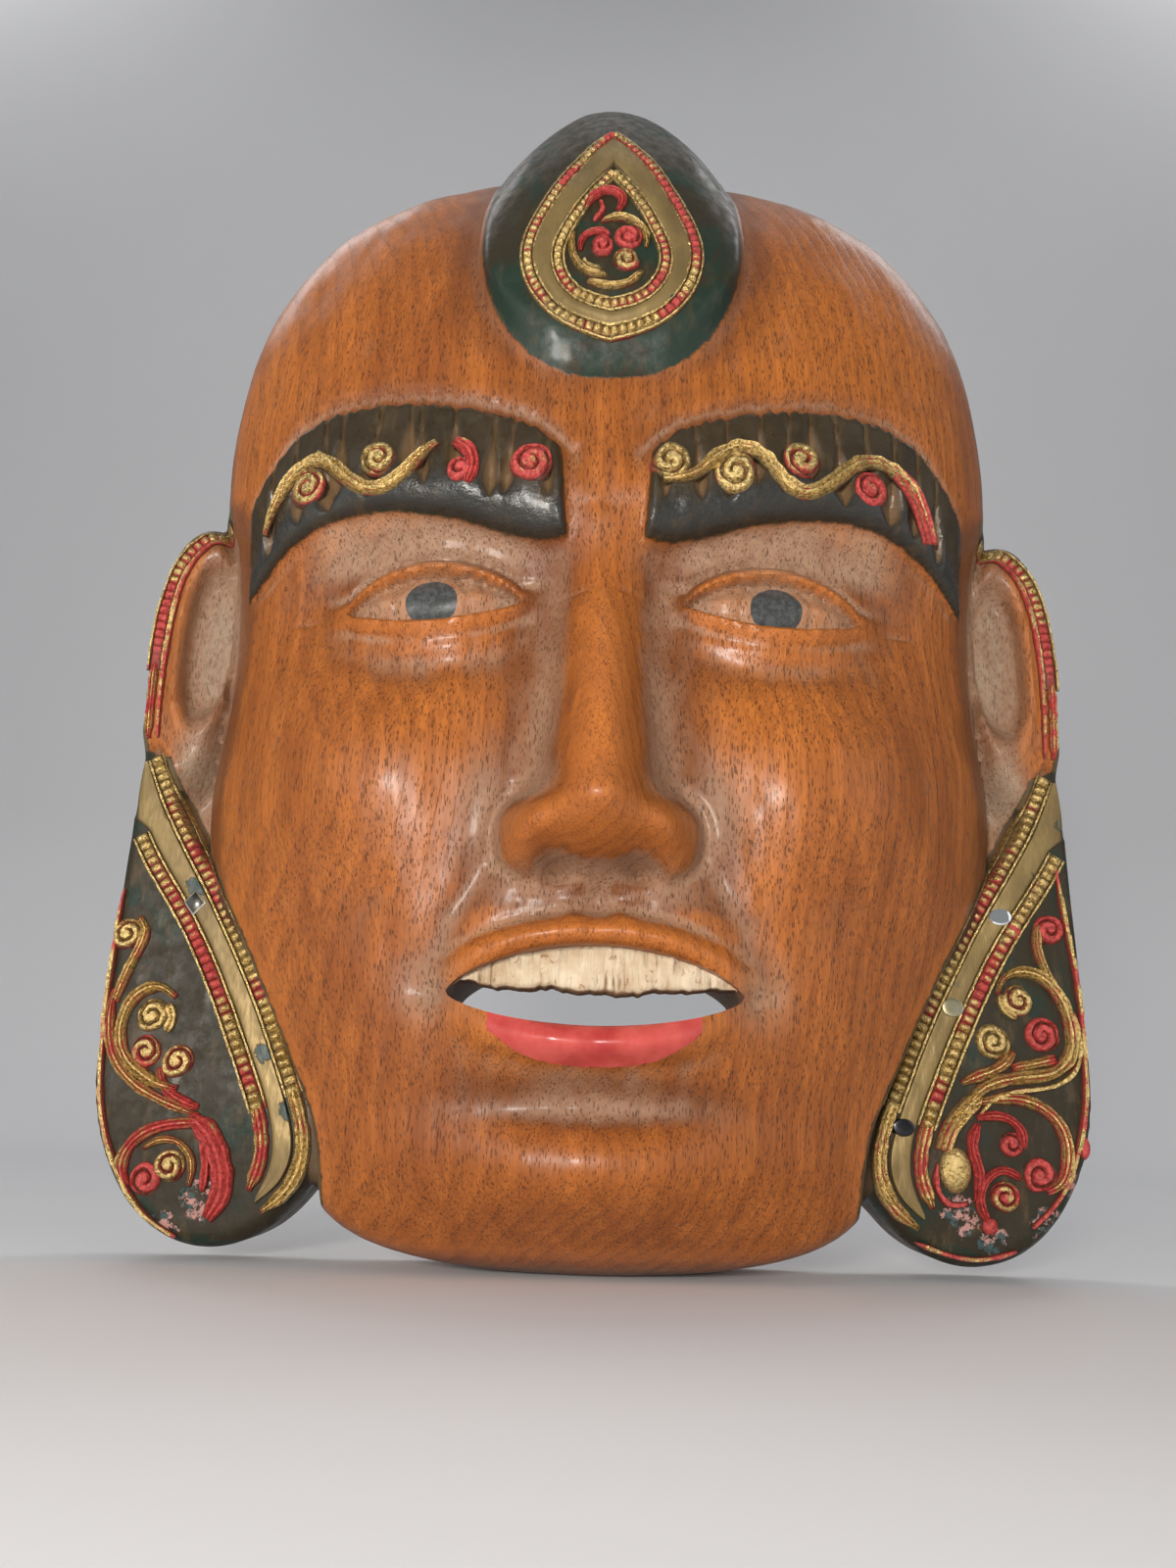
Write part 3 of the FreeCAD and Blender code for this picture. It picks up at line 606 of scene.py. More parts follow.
class Relief:
    """One piece: strips, ropes and knobs of moulded putty laid on the carving, gathered into one mesh."""

    def __init__(self, name, node):
        self.name, self.node = name, node
        self.verts, self.faces, self.lift, self.red = [], [], [], []
        self.count = 0

    def add(self, verts, faces, lift, red):
        self.verts.append(verts)
        self.faces += [tuple(i + self.count for i in f) for f in faces]
        self.lift.append(lift)
        self.red.append(np.full(len(verts), red) if np.isscalar(red) else red)
        self.count += len(verts)

    def sweep(self, path, half, tall, profile, red):
        """A closed strip along a path: half-width and height per point, profile across it."""
        u, v = np.array(profile).T
        reach = (half[:, None] * u[None])[..., None]
        self.skin(path[:, None, :] + normals(path)[:, None, :] * reach, tall, v, red)

    def skin(self, px, tall, v, red):
        """A closed strip over a grid of places: height per row and profile v across it."""
        n, m = px.shape[:2]
        base = height(px[..., 0], px[..., 1], False)
        top = place(px[..., 0], px[..., 1], base + tall[:, None] * v[None])
        foot = place(px[:, (0, -1), 0], px[:, (0, -1), 1], base[:, (0, -1)] - SINK)
        rows = np.concatenate([foot[:, :1], top, foot[:, 1:]], 1)
        k = m + 2
        faces = []
        for i in range(n - 1):
            for j in range(k):
                a, b = i * k + j, i * k + (j + 1) % k
                faces.append((a, a + k, b + k, b))
        faces.append(tuple(range(k)))
        faces.append(tuple((n - 1) * k + j for j in range(k))[::-1])
        lift = np.zeros((n, k))
        lift[:, 1:-1] = v[None] * (tall / tall.max())[:, None]
        self.add(rows.reshape(-1, 3), faces, lift.ravel(), red)

    def rope(self, path, width=1.3, tall=1.3, red=0.3, taper=(0.35, 0.6), ridges=1):
        """A rounded rope, or several side by side, thinning at its ends."""
        n = len(path)
        s = np.linspace(0, 1, n)
        ends = np.clip(np.minimum(s / 0.1, (1 - s) / 0.1), 0, 1) ** 0.5
        half = width / 2 * (taper[0] + (1 - taper[0]) * np.clip(s / 0.15, 0, 1)) * (
            taper[1] + (1 - taper[1]) * np.clip((1 - s) / 0.15, 0, 1))
        wave = 1 + 0.09 * grain(s * n * 0.5, s * 0, 1.7, n + int(path[0, 0] * 7) % 50)
        u = np.linspace(-1, 1, 5 + 4 * (ridges - 1))
        dome = np.sqrt(np.clip(1 - u**4, 0, 1))
        if ridges > 1:
            dome = dome * (0.62 + 0.38 * np.abs(np.cos(u * math.pi / 2 * (2 * ridges - 1))))
        self.sweep(path, half * wave, tall * (0.35 + 0.65 * ends) * wave, list(zip(u, dome)), red)

    def ribbon(self, path, width=3.0, tall=1.6, red=0.25, taper=(0.5, 0.5)):
        """A broad flat ribbon with a raised edge on each side and a shallow channel between."""
        s = np.linspace(0, 1, len(path))
        half = width / 2 * (taper[0] + (1 - taper[0]) * ramp(s, 0, 0.2)) * (
            taper[1] + (1 - taper[1]) * ramp(1 - s, 0, 0.2))
        rough = 1 + 0.07 * grain(s * len(path) * 0.5, s * 0, 2.1, len(path) + 3)
        ends = np.clip(np.minimum(s / 0.06, (1 - s) / 0.06), 0, 1) ** 0.5
        profile = [(-1, 0.0), (-0.93, 0.62), (-0.74, 0.98), (-0.52, 0.82), (-0.34, 0.48), (-0.14, 0.84),
                   (0.1, 0.88), (0.32, 0.48), (0.52, 0.84), (0.74, 1.0), (0.93, 0.62), (1, 0.0)]
        self.sweep(path, half * rough, tall * (0.4 + 0.6 * ends) * rough, profile, red)

    def beads(self, path, width, tall, pitch, red, fade=None):
        """A row of small cross ribs between two thin rails, dying out over the share `fade` at its end."""
        s = np.r_[0, np.cumsum(np.hypot(*np.diff(path, axis=0).T))]
        count = max(round(s[-1] / pitch), 2)
        q = np.linspace(0, s[-1], count * 9 + 1)
        p = np.stack([np.interp(q, s, path[:, 0]), np.interp(q, s, path[:, 1])], 1)
        wave = np.abs(np.sin(q / s[-1] * count * math.pi)) ** 0.7
        worn = 1 + 0.12 * grain(q, q * 0, 3.1, 21)
        rise = (0.45 + (tall - 0.45) * wave) * worn
        if fade is not None:
            rise = 0.5 + (rise - 0.5) * ramp(1 - q / s[-1], 0, fade)
        u = np.linspace(-1, 1, 9)
        v = np.clip(1 - np.abs(u) ** 3.2, 0, 1) ** 0.6
        tone = np.repeat(np.clip(red + 0.35 * grain(q, q * 0, 9, 5), 0, 1)[:, None], 11, 1).ravel()
        self.sweep(p, np.full(len(p), width / 2), rise, list(zip(u, v)), tone)
        for sign in (1, -1):
            self.rope(offset(path, sign * (width / 2 + 0.35)), 0.85, 0.95, red * 0.6, (1, 1))

    def spiral(self, x, t, r, turns, start, hand, tall, red):
        """A round eye cut with a spiral groove, with a boss in its middle."""
        rings, seg = 13, 44
        w = np.linspace(0.02, 1, rings + 1)[:, None]
        ang = np.linspace(0, 2 * math.pi, seg, endpoint=False)[None]
        f = (ang - start) * hand / (2 * math.pi) - turns * (1 - w) / 0.8
        ridge = np.where(w < 0.2, 1.0, ramp(np.abs(np.cos(math.pi * f)), 0.12, 0.72))
        wander = 1 + 0.05 * grain(ang * 1.2 + 0 * w, 0 * ang + 0 * w, 1.0, int(10 * r))
        px, pt = x + r * wander * w * np.cos(ang), t + r * wander * w * np.sin(ang)
        lift = (0.08 + 0.92 * ridge) * np.sqrt(np.clip(1 - w**7, 0, 1))
        h = height(px, pt, False) + tall * lift - np.where(w == 1, SINK, 0)
        self.add(place(px, pt, h).reshape(-1, 3), dome_faces(rings, seg), lift.ravel(), red)

    def knob(self, x, t, r, tall, red, rt=None, power=2.0):
        """A domed drop, or a flat-topped chip where power is high."""
        rings, seg = 6, 22
        out = []
        for i in range(rings + 1):
            w = i / rings
            p = ring(x, t, max(r * w, 1e-3), max((rt or r) * w, 1e-3), seg)
            h = height(*p.T, False) + tall * np.sqrt(max(1 - w**power, 0)) - (0.3 if i == rings else 0)
            out.append(place(*p.T, h))
        lift = np.repeat(np.sqrt(np.clip(1 - np.linspace(0, 1, rings + 1) ** 2, 0, 1)), seg)
        self.add(np.vstack(out), dome_faces(rings, seg), lift, red)

    def band(self, left, right, tall):
        """A flat strip that fills the space between two paths."""
        n = 220
        at = np.linspace(0, 1, n)
        left, right = (np.stack([np.interp(at, np.linspace(0, 1, len(p)), p[:, k]) for k in (0, 1)], 1)
                       for p in (left, right))
        u = np.linspace(0, 1, 13)
        px = left[:, None] * (1 - u[None, :, None]) + right[:, None] * u[None, :, None]
        v = np.clip(1 - np.abs(2 * u - 1) ** 8, 0, 1) ** 0.5 * (1 + 0.05 * np.cos(u * 10)) + 0.02
        self.skin(px, tall * (1 + 0.03 * grain(np.arange(n), np.zeros(n), 9, 31)), v, 0.0)

    def done(self, material, slot):
        layers = {"lift": np.concatenate(self.lift), "red": np.concatenate(self.red)}
        make(self.name, np.vstack(self.verts), self.faces, material, [self.node], layers)

    def gilt(self):
        self.done(GILT, "gilded_relief")


# ---------------------------------------------------------------- materials

class Wire:
    """A shader value: sums, differences and products of such values are written as arithmetic."""

    def __init__(self, nodes, socket):
        self.nodes, self.socket = nodes, socket

    def __add__(self, other):
        return self.nodes.math("ADD", self, other)

    def __mul__(self, other):
        return self.nodes.math("MULTIPLY", self, other)

    def __sub__(self, other):
        return self.nodes.math("SUBTRACT", self, other)

    def __rsub__(self, other):
        return self.nodes.math("SUBTRACT", other, self)


class Nodes:
    """A material being built: each method adds a shader node and gives its result."""

    def __init__(self, name):
        self.mat = bpy.data.materials.new(name)
        self.mat.use_nodes = True
        self.tree = self.mat.node_tree
        self.tree.nodes.clear()
        self.bsdf = self.new("BsdfPrincipled", {})
        self.tree.links.new(self.bsdf.outputs[0], self.new("OutputMaterial", {}).inputs[0])
        self.point = Wire(self, self.new("TexCoord", {}).outputs["Object"])

    def new(self, kind, inputs):
        return self.fill(self.tree.nodes.new("ShaderNode" + kind), inputs)

    def fill(self, node, inputs):
        """Set a node's inputs, by name or by place, to constants or to other nodes' results."""
        for key, value in inputs.items():
            socket = node.inputs[key]
            if isinstance(value, Wire):
                self.tree.links.new(value.socket, socket)
            elif isinstance(value, tuple) and socket.type == "RGBA":
                socket.default_value = (*value, 1.0)
            else:
                socket.default_value = value
        return node

    def done(self, **inputs):
        """The finished material, with its surface's inputs set."""
        self.fill(self.bsdf, {key.replace("_", " "): value for key, value in inputs.items()})
        return self.mat

    def spot(self, scale, move):
        """The place in the object, scaled by one number or by one for each axis."""
        scale = scale if isinstance(scale, tuple) else (scale,) * 3
        node = self.new("Mapping", {"Vector": self.point, "Scale": scale, "Location": move})
        return Wire(self, node.outputs[0])

    def noise(self, scale, detail=4.0, rough=0.6, warp=0.0, move=(0, 0, 0)):
        node = self.new("TexNoise", {"Vector": self.spot(scale, move), "Scale": 1.0, "Detail": detail,
                                     "Roughness": rough, "Distortion": warp})
        return Wire(self, node.outputs["Fac"])

    def cells(self, scale, move=(0, 0, 0)):
        node = self.new("TexVoronoi", {"Vector": self.spot(scale, move), "Scale": 1.0})
        return Wire(self, node.outputs["Distance"])

    def attribute(self, name):
        node = self.new("Attribute", {})
        node.attribute_name = name
        return Wire(self, node.outputs["Fac"])

    def axes(self):
        return [Wire(self, s) for s in self.new("SeparateXYZ", {0: self.point}).outputs]

    def math(self, operation, a, b=0.0):
        node = self.new("Math", {})
        node.operation = operation
        return Wire(self, self.fill(node, {0: a, 1: b}).outputs[0])

    def most(self, a, b):
        return self.math("MAXIMUM", a, b)

    def step(self, value, low, high, a=0.0, b=1.0):
        """The value from low..high onto a..b, smooth and held at the ends."""
        node = self.new("MapRange", {})
        node.interpolation_type = "SMOOTHSTEP"
        return Wire(self, self.fill(node, {0: value, 1: low, 2: high, 3: a, 4: b}).outputs[0])

    def mix(self, fac, a, b):
        """From colour a to colour b."""
        node = self.new("Mix", {})
        node.data_type = "RGBA"
        return Wire(self, self.fill(node, {0: fac, 6: a, 7: b}).outputs[2])

    def blend(self, fac, a, b):
        """From number a to number b."""
        node = self.new("Mix", {})
        node.data_type = "FLOAT"
        return Wire(self, self.fill(node, {0: fac, 2: a, 3: b}).outputs[0])

    def bump(self, height, depth, strength):
        node = self.new("Bump", {"Height": height, "Distance": depth, "Strength": strength})
        self.tree.links.new(node.outputs[0], self.bsdf.inputs["Normal"])


def wood_parts(n):
    """Varnished teak: its colour, its relief and its pores."""
    x, y, _ = n.axes()
    dx, dy = x - HEART_X + n.noise((18, 18, 5), 2, 0.55) * 0.016, y - HEART_Y
    radius = n.math("SQRT", dx * dx + dy * dy)
    phase = n.math("FRACT", radius * (1 / RING_GAP) + n.noise((40, 40, 8), 2, 0.55) * 2.2)
    ringed = n.step(phase, 0.2, 0.92) * (1.0 - n.step(phase, 0.92, 1.0))
    fibre = n.noise((1700, 1700, 55), 3)
    slow = n.noise((14, 14, 6), 3, 0.5, 0.6)
    streak = n.noise((210, 210, 9))
    wide = ringed * 0.12 + 0.17
    pore = 1.0 - n.step(n.cells((1750, 1750, 300)), wide - 0.08, wide + 0.05)
    fine = 1.0 - n.step(n.cells((2100, 2100, 380), (0.3, 0.1, 0.7)), 0.15, 0.28)
    pore = n.most(pore, fine * 0.7)
    colour = n.mix(n.step(slow, 0.3, 0.72), (0.40, 0.122, 0.019), (0.21, 0.055, 0.010))
    colour = n.mix(n.step(streak, 0.35, 0.8, 0.0, 0.6), colour, (0.52, 0.165, 0.030))
    colour = n.mix(ringed * 0.24, colour, (0.15, 0.040, 0.010))
    colour = n.mix(n.step(fibre, 0.35, 0.75, 0.0, 0.6), colour, (0.13, 0.037, 0.010))
    colour = n.mix(pore * 0.66, colour, (0.055, 0.018, 0.006))
    return colour, fibre * 0.25 - (pore + ringed * 0.25), pore


def body_material():
    """The whole carving: teak, with every coat of paint, dust and wear, and painted shade and sheen, laid over
    it by its layer.
    """
    n = Nodes("teak_and_lacquer")
    colour, relief, pore = wood_parts(n)
    cavity, back, on_boss, on_brow, on_lappet, gloss_and_painted_sheen, pale = map(
        n.attribute, ("cavity", "back", "boss", "brow", "lappet", "gloss_and_painted_sheen", "pale"))
    cloud = n.noise((110, 110, 70))
    speck = n.noise((900, 900, 700), 4, 0.7)
    ragged = (n.noise(420, 4, 0.7) - 0.5) * 1.6

    # Grey-beige dust and old wax in the recesses, and the wood made lighter on the high places.
    dust = n.step(cavity + cloud * 0.9, 0.45, 1.35) * 0.66 * n.step(on_brow, -5.0, -2.0, 1.0, 0.1)
    dust = n.most(dust, n.attribute("dusty") * n.step(cloud, 0.25, 0.6, 0.5, 0.85))
    dust = dust * n.step(speck, 0.3, 0.62, 0.55, 1.0) * (1.0 - n.step(on_boss, -9.0, -5.0, 0.0, 0.8))
    high = n.step(cavity * -1.0, 0.1, 0.9)
    colour = n.mix(high * 0.25, colour, (0.56, 0.175, 0.038))
    # Painted shade: the wood is darkened in broad hollows and on the head's lower sides, standing in for shade.
    deep = n.step(n.attribute("painted_broad_shade") + cloud * 0.5, 0.05, 0.95)
    colour = n.mix(deep * 0.72, colour, (0.10, 0.031, 0.010))
    film = n.mix(pale, (0.33, 0.205, 0.130), (0.32, 0.245, 0.172))
    film = n.mix(pore * (0.75 - pale * 0.6), film, (0.075, 0.038, 0.022))
    colour = n.mix(dust, colour, film)
    rough = n.blend(dust, n.step(cloud, 0.3, 0.7, 0.36, 0.48), 0.8)

    # Unvarnished, tooled wood behind.
    stain = n.step(n.noise((45, 45, 16), 5, 0.65), 0.3, 0.72)
    tooled = n.mix(stain, (0.27, 0.150, 0.074), (0.17, 0.086, 0.041))
    tooled = n.mix(pore * 0.6, tooled, (0.06, 0.028, 0.013))
    colour = n.mix(back * 0.8, colour, tooled)
    rough = n.blend(back, rough, 0.72)

    # Dark green-black lacquer on the boss, the brows and the lappets.
    low = n.step(n.math("ABSOLUTE", n.axes()[2]), 0.022, 0.062) * 0.16
    green = n.step(n.noise(60, 4, 0.65, 0.8) + low * n.step(on_boss, -1.0, 0.0), 0.52, 0.66)
    lacquer = n.mix(green, (0.024, 0.018, 0.008), (0.010, 0.024, 0.015))
    plate = n.mix(cloud, (0.014, 0.010, 0.005), (0.050, 0.034, 0.017))
    # Painted sheen: the brows' lower band is painted grey, standing in for the reflection on the glossy
    # lacquer.
    plate = n.mix(gloss_and_painted_sheen, plate, (0.026, 0.026, 0.024))
    lacquer = n.mix(n.step(on_brow, -0.5, 0.2), lacquer, plate)
    lacquer = n.mix(n.attribute("cut") * 0.9, lacquer, (0.15, 0.092, 0.044))
    worn = n.step(high + speck * 0.8, 0.75, 1.25) * n.step(on_lappet, 0.0, 0.5)
    lacquer = n.mix(worn * 0.6, lacquer, (0.17, 0.112, 0.050))
    rub = n.step(n.noise((260, 260, 90), 5, 0.7), 0.5, 0.7) * n.step(on_lappet, -0.5, 0.5, 0.4, 0.75)
    lacquer = n.mix(rub, lacquer, (0.080, 0.050, 0.020))
    lacquer = n.mix(n.step(cavity, 0.2, 0.9) * 0.5, lacquer, (0.15, 0.088, 0.045))
    boss = n.step(on_boss + ragged, -0.25, 0.35)
    brow = n.step(on_brow + ragged * 0.7, -0.7, -0.2)
    lappet = n.step(on_lappet + ragged, -0.25, 0.3)
    paint = n.most(n.most(boss, brow), lappet) * (1.0 - back)
    colour = n.mix(paint, colour, lacquer)
    gloss = n.step(n.noise(330, 5, 0.7), 0.35, 0.7, 0.26, 0.55)
    gloss = gloss + n.step(n.most(on_boss, on_lappet), -0.5, 0.5, 0.0, 0.17) - gloss_and_painted_sheen * 0.1
    rough = n.blend(paint, rough, gloss)

    # Flakes of blue-green and pink-white gesso where the lacquer has gone.
    flake = n.step(n.attribute("chip") * n.step(n.noise(520, 5, 0.75), 0.42, 0.56), 0.3, 0.42)
    tint = n.step(n.noise(380, 3, 0.6, 0.0, (5, 2, 1)), 0.45, 0.52)
    colour = n.mix(flake, colour, n.mix(tint, (0.045, 0.075, 0.075), (0.42, 0.22, 0.19)))
    rough = n.blend(flake, rough, 0.7)

    # Red on the lower lip.
    lip = n.step(n.attribute("lip") + ragged * 0.5, -0.2, 0.15)
    red = n.mix(n.step(cloud, 0.3, 0.75), (0.56, 0.095, 0.078), (0.37, 0.036, 0.034))
    colour = n.mix(lip, colour, red)
    rough = n.blend(lip, rough, 0.27)

    # The pupils: flat grey-black discs with a brushed sheen.
    pupil = n.step(n.attribute("pupil") + ragged * 0.25, -0.12, 0.12)
    grey = n.mix(n.step(speck, 0.4, 0.62), (0.040, 0.042, 0.042), (0.075, 0.078, 0.078))
    colour = n.mix(pupil, colour, grey)
    rough = n.blend(pupil, rough, 0.3)

    crackle = n.noise(700, 5, 0.7)
    crinkle = n.noise((300, 300, 420), 4, 0.65)
    skin = (crackle + gloss * 0.8) * 0.5 + crinkle * gloss_and_painted_sheen * 2.2
    relief = n.blend(back, relief, relief * 2.5)
    relief = n.blend(paint, relief, skin)
    relief = n.blend(n.most(lip, pupil), relief, skin * 0.35)
    n.bump(relief - flake * 0.8, 0.00022, 0.8)
    return n.done(Base_Color=colour, Roughness=rough, Coat_Weight=0.08, Coat_Roughness=0.16,
                  Specular_IOR_Level=0.3)


def gilded_material():
    """Worn gold leaf over red, with dark grime between the ropes."""
    n = Nodes("worn_gilding")
    lift = n.attribute("lift")
    patch = n.noise(190, 4, 0.6, 0.5)
    flecks = n.noise(1300, 4, 0.7)
    wear = patch * 0.9 + flecks * 0.35 + (1.0 - n.step(lift, 0.4, 0.85)) * 0.22
    worn = n.step(wear + n.attribute("red") * 0.66, 0.95, 1.06)
    leaf = n.mix(n.step(flecks, 0.35, 0.68), (0.38, 0.255, 0.082), (0.80, 0.60, 0.27))
    under = n.mix(n.step(flecks, 0.4, 0.6), (0.54, 0.060, 0.052), (0.27, 0.024, 0.020))
    grime = 1.0 - n.step(lift + flecks * 0.5, 0.36, 0.85)
    colour = n.mix(grime * 0.85, n.mix(worn, leaf, under), (0.040, 0.026, 0.013))
    n.bump(flecks + patch * 0.6, 0.0005, 0.9)
    return n.done(Base_Color=colour, Metallic=(1.0 - worn) * (0.9 - grime * 0.7),
                  Roughness=n.blend(worn, n.step(flecks, 0.3, 0.7, 0.22, 0.44), 0.46))


def band_material():
    """Flat matt gold, tarnished in long streaks, with dark green spots where it has worn through."""
    n = Nodes("matt_gold_band")
    cloud = n.noise((60, 60, 40))
    fine = n.noise((900, 900, 260), 4, 0.65)
    spots = n.cells(85) + n.noise(330, 4, 0.7) * 0.5
    keep = n.step(n.noise(45, 2, 0.5, 0.0, (3, 1, 2)), 0.52, 0.55)
    spot = (1.0 - n.step(spots, 0.42, 0.46)) * keep
    edge = 1.0 - n.step(n.attribute("lift"), 0.55, 0.9)
    colour = n.mix(n.step(cloud, 0.3, 0.72), (0.27, 0.185, 0.068), (0.15, 0.100, 0.038))
    colour = n.mix(n.step(fine, 0.42, 0.75, 0.0, 0.5), colour, (0.14, 0.105, 0.04))
    colour = n.mix(edge * 0.8, colour, (0.05, 0.034, 0.016))
    colour = n.mix(spot, colour, (0.016, 0.034, 0.028))
    n.bump(fine - spot, 0.00025, 0.6)
    return n.done(Base_Color=colour, Metallic=(1.0 - spot) * (0.42 - edge * 0.3),
                  Roughness=n.step(fine, 0.3, 0.7, 0.42, 0.58))


def tooth_material():
    """Pale fibrous strip, brown in its splits."""
    n = Nodes("tooth_fibre")
    strand = n.noise((1100, 1100, 110), 5, 0.7)
    split = n.noise((330, 330, 240), 5, 0.75, 1.2, (2, 4, 1))
    edge = 1.0 - n.step(n.attribute("lift"), 0.05, 0.4)
    colour = n.mix(n.step(n.noise(150), 0.35, 0.7), (0.64, 0.53, 0.38), (0.47, 0.34, 0.21))
    colour = n.mix(n.step(strand, 0.54, 0.75, 0.0, 0.6), colour, (0.34, 0.19, 0.085))
    colour = n.mix(n.step(split, 0.56, 0.64, 0.0, 0.85), colour, (0.28, 0.135, 0.05))
    colour = n.mix(edge, colour, (0.20, 0.11, 0.055))
    n.bump(strand, 0.0006, 0.9)
    return n.done(Base_Color=colour, Roughness=0.72)


def mirror_material():
    """Small silvered glass chips, clouded in patches, some painted near black as a painted dark reflection; the
    layer "red" holds how clouded each one is, and from 0.6 up paints it dark.
    """
    n = Nodes("mirror_glass")
    clouding_and_painted_dark = n.attribute("red")
    clouded = n.step(clouding_and_painted_dark, 0.1, 0.5) * n.step(n.noise(420), 0.2, 0.6, 0.7, 1.0)
    colour = n.mix(clouded, (0.80, 0.83, 0.84), (0.36, 0.32, 0.19))
    # Painted reflection: from 0.6 up a chip is painted near black, standing in for a dark reflection.
    colour = n.mix(n.step(clouding_and_painted_dark, 0.6, 0.9), colour, (0.022, 0.022, 0.026))
    return n.done(Base_Color=colour, Metallic=0.92, Roughness=n.blend(clouded, 0.06, 0.36),
                  Coat_Weight=0.6, Coat_Roughness=0.04)


def floor_material():
    n = Nodes("pale_floor")
    pale = (0.80, 0.80, 0.81)
    colour = n.mix(n.noise(9, 3, 0.5), pale, tuple(c * 0.97 for c in pale))
    return n.done(Base_Color=colour, Roughness=0.9)


# ---------------------------------------------------------------- the applied pieces

GILT = gilded_material()
BAND = band_material()
MIRROR = mirror_material()

# Right side: the lappet's two bead rows, the shoulder of its gold strip and the ear's bead row.
INNER = [(106.2, 112), (101.5, 102), (95.5, 91.5), (88, 79.5), (80.3, 66), (74, 54), (68.6, 42), (64.2, 31),
         (62.8, 22), (65.6, 15), (71, 10.3)]
OUTER = [(107.5, 93), (103.5, 86.5), (97.5, 78), (91, 68), (85.5, 58), (80.6, 48), (76, 38), (72.8, 29.5),
         (71.8, 21.5), (74, 14.5)]
SHOULDER = [(109.0, 110.6), (109.6, 103.5), (109.2, 96.8)]
EAR = [(93.2, 170.8), (98.5, 168.5), (103.5, 163.5), (106.8, 154), (108, 142), (108.2, 128), (107.6, 116)]


def flip(pts, side):
    return np.array(pts, float) * (side, 1)


def side_rows(side, word):
    """The bead rows and the gold strip of one lappet and its ear."""
    inner, outer, ear_line = (spline(flip(p, side), 0.4) for p in (INNER, OUTER, EAR))
    right = side > 0
    for row, name, share, beads, ribbon in (
            (inner, "inner", 0.74, (3.1, 1.6, 2.1, 0.1), (3.6, 1.4, 0.25, (0.85, 0.4))),
            (outer, "outer", 0.78, (3.0, 1.5, 2.1, 0.12 if right else 0.3), (3.4, 1.5, 0.5, (0.85, 0.4)))):
        r = Relief(f"{word}_{name}_beads", f"{word}_lappet_{name}_beading")
        cut = int(len(row) * share)
        r.beads(row[:cut + 6], *beads)
        r.ribbon(row[cut:], *ribbon)
        r.gilt()
    r = Relief(word + "_ear_beads", word + "_ear_beading")
    r.beads(ear_line[:int(len(ear_line) * 0.72)], 2.6, 1.4, 2.1, 0.35, 0.25)
    r.rope(offset(ear_line, -2.2 * side), 1.3, 1.2, 0.6)
    r.ribbon(ear_line[int(len(ear_line) * 0.68):], 2.2, 1.1, 0.5)
    r.gilt()
    r = Relief(word + "_gold_strip", word + "_lappet_gold_band")
    rim = np.vstack([spline(flip(SHOULDER, side), 0.4), offset(outer, -side * 2.1)])
    r.band(offset(inner, side * 2.1), rim, 0.95)
    r.done(BAND, "gold_band")


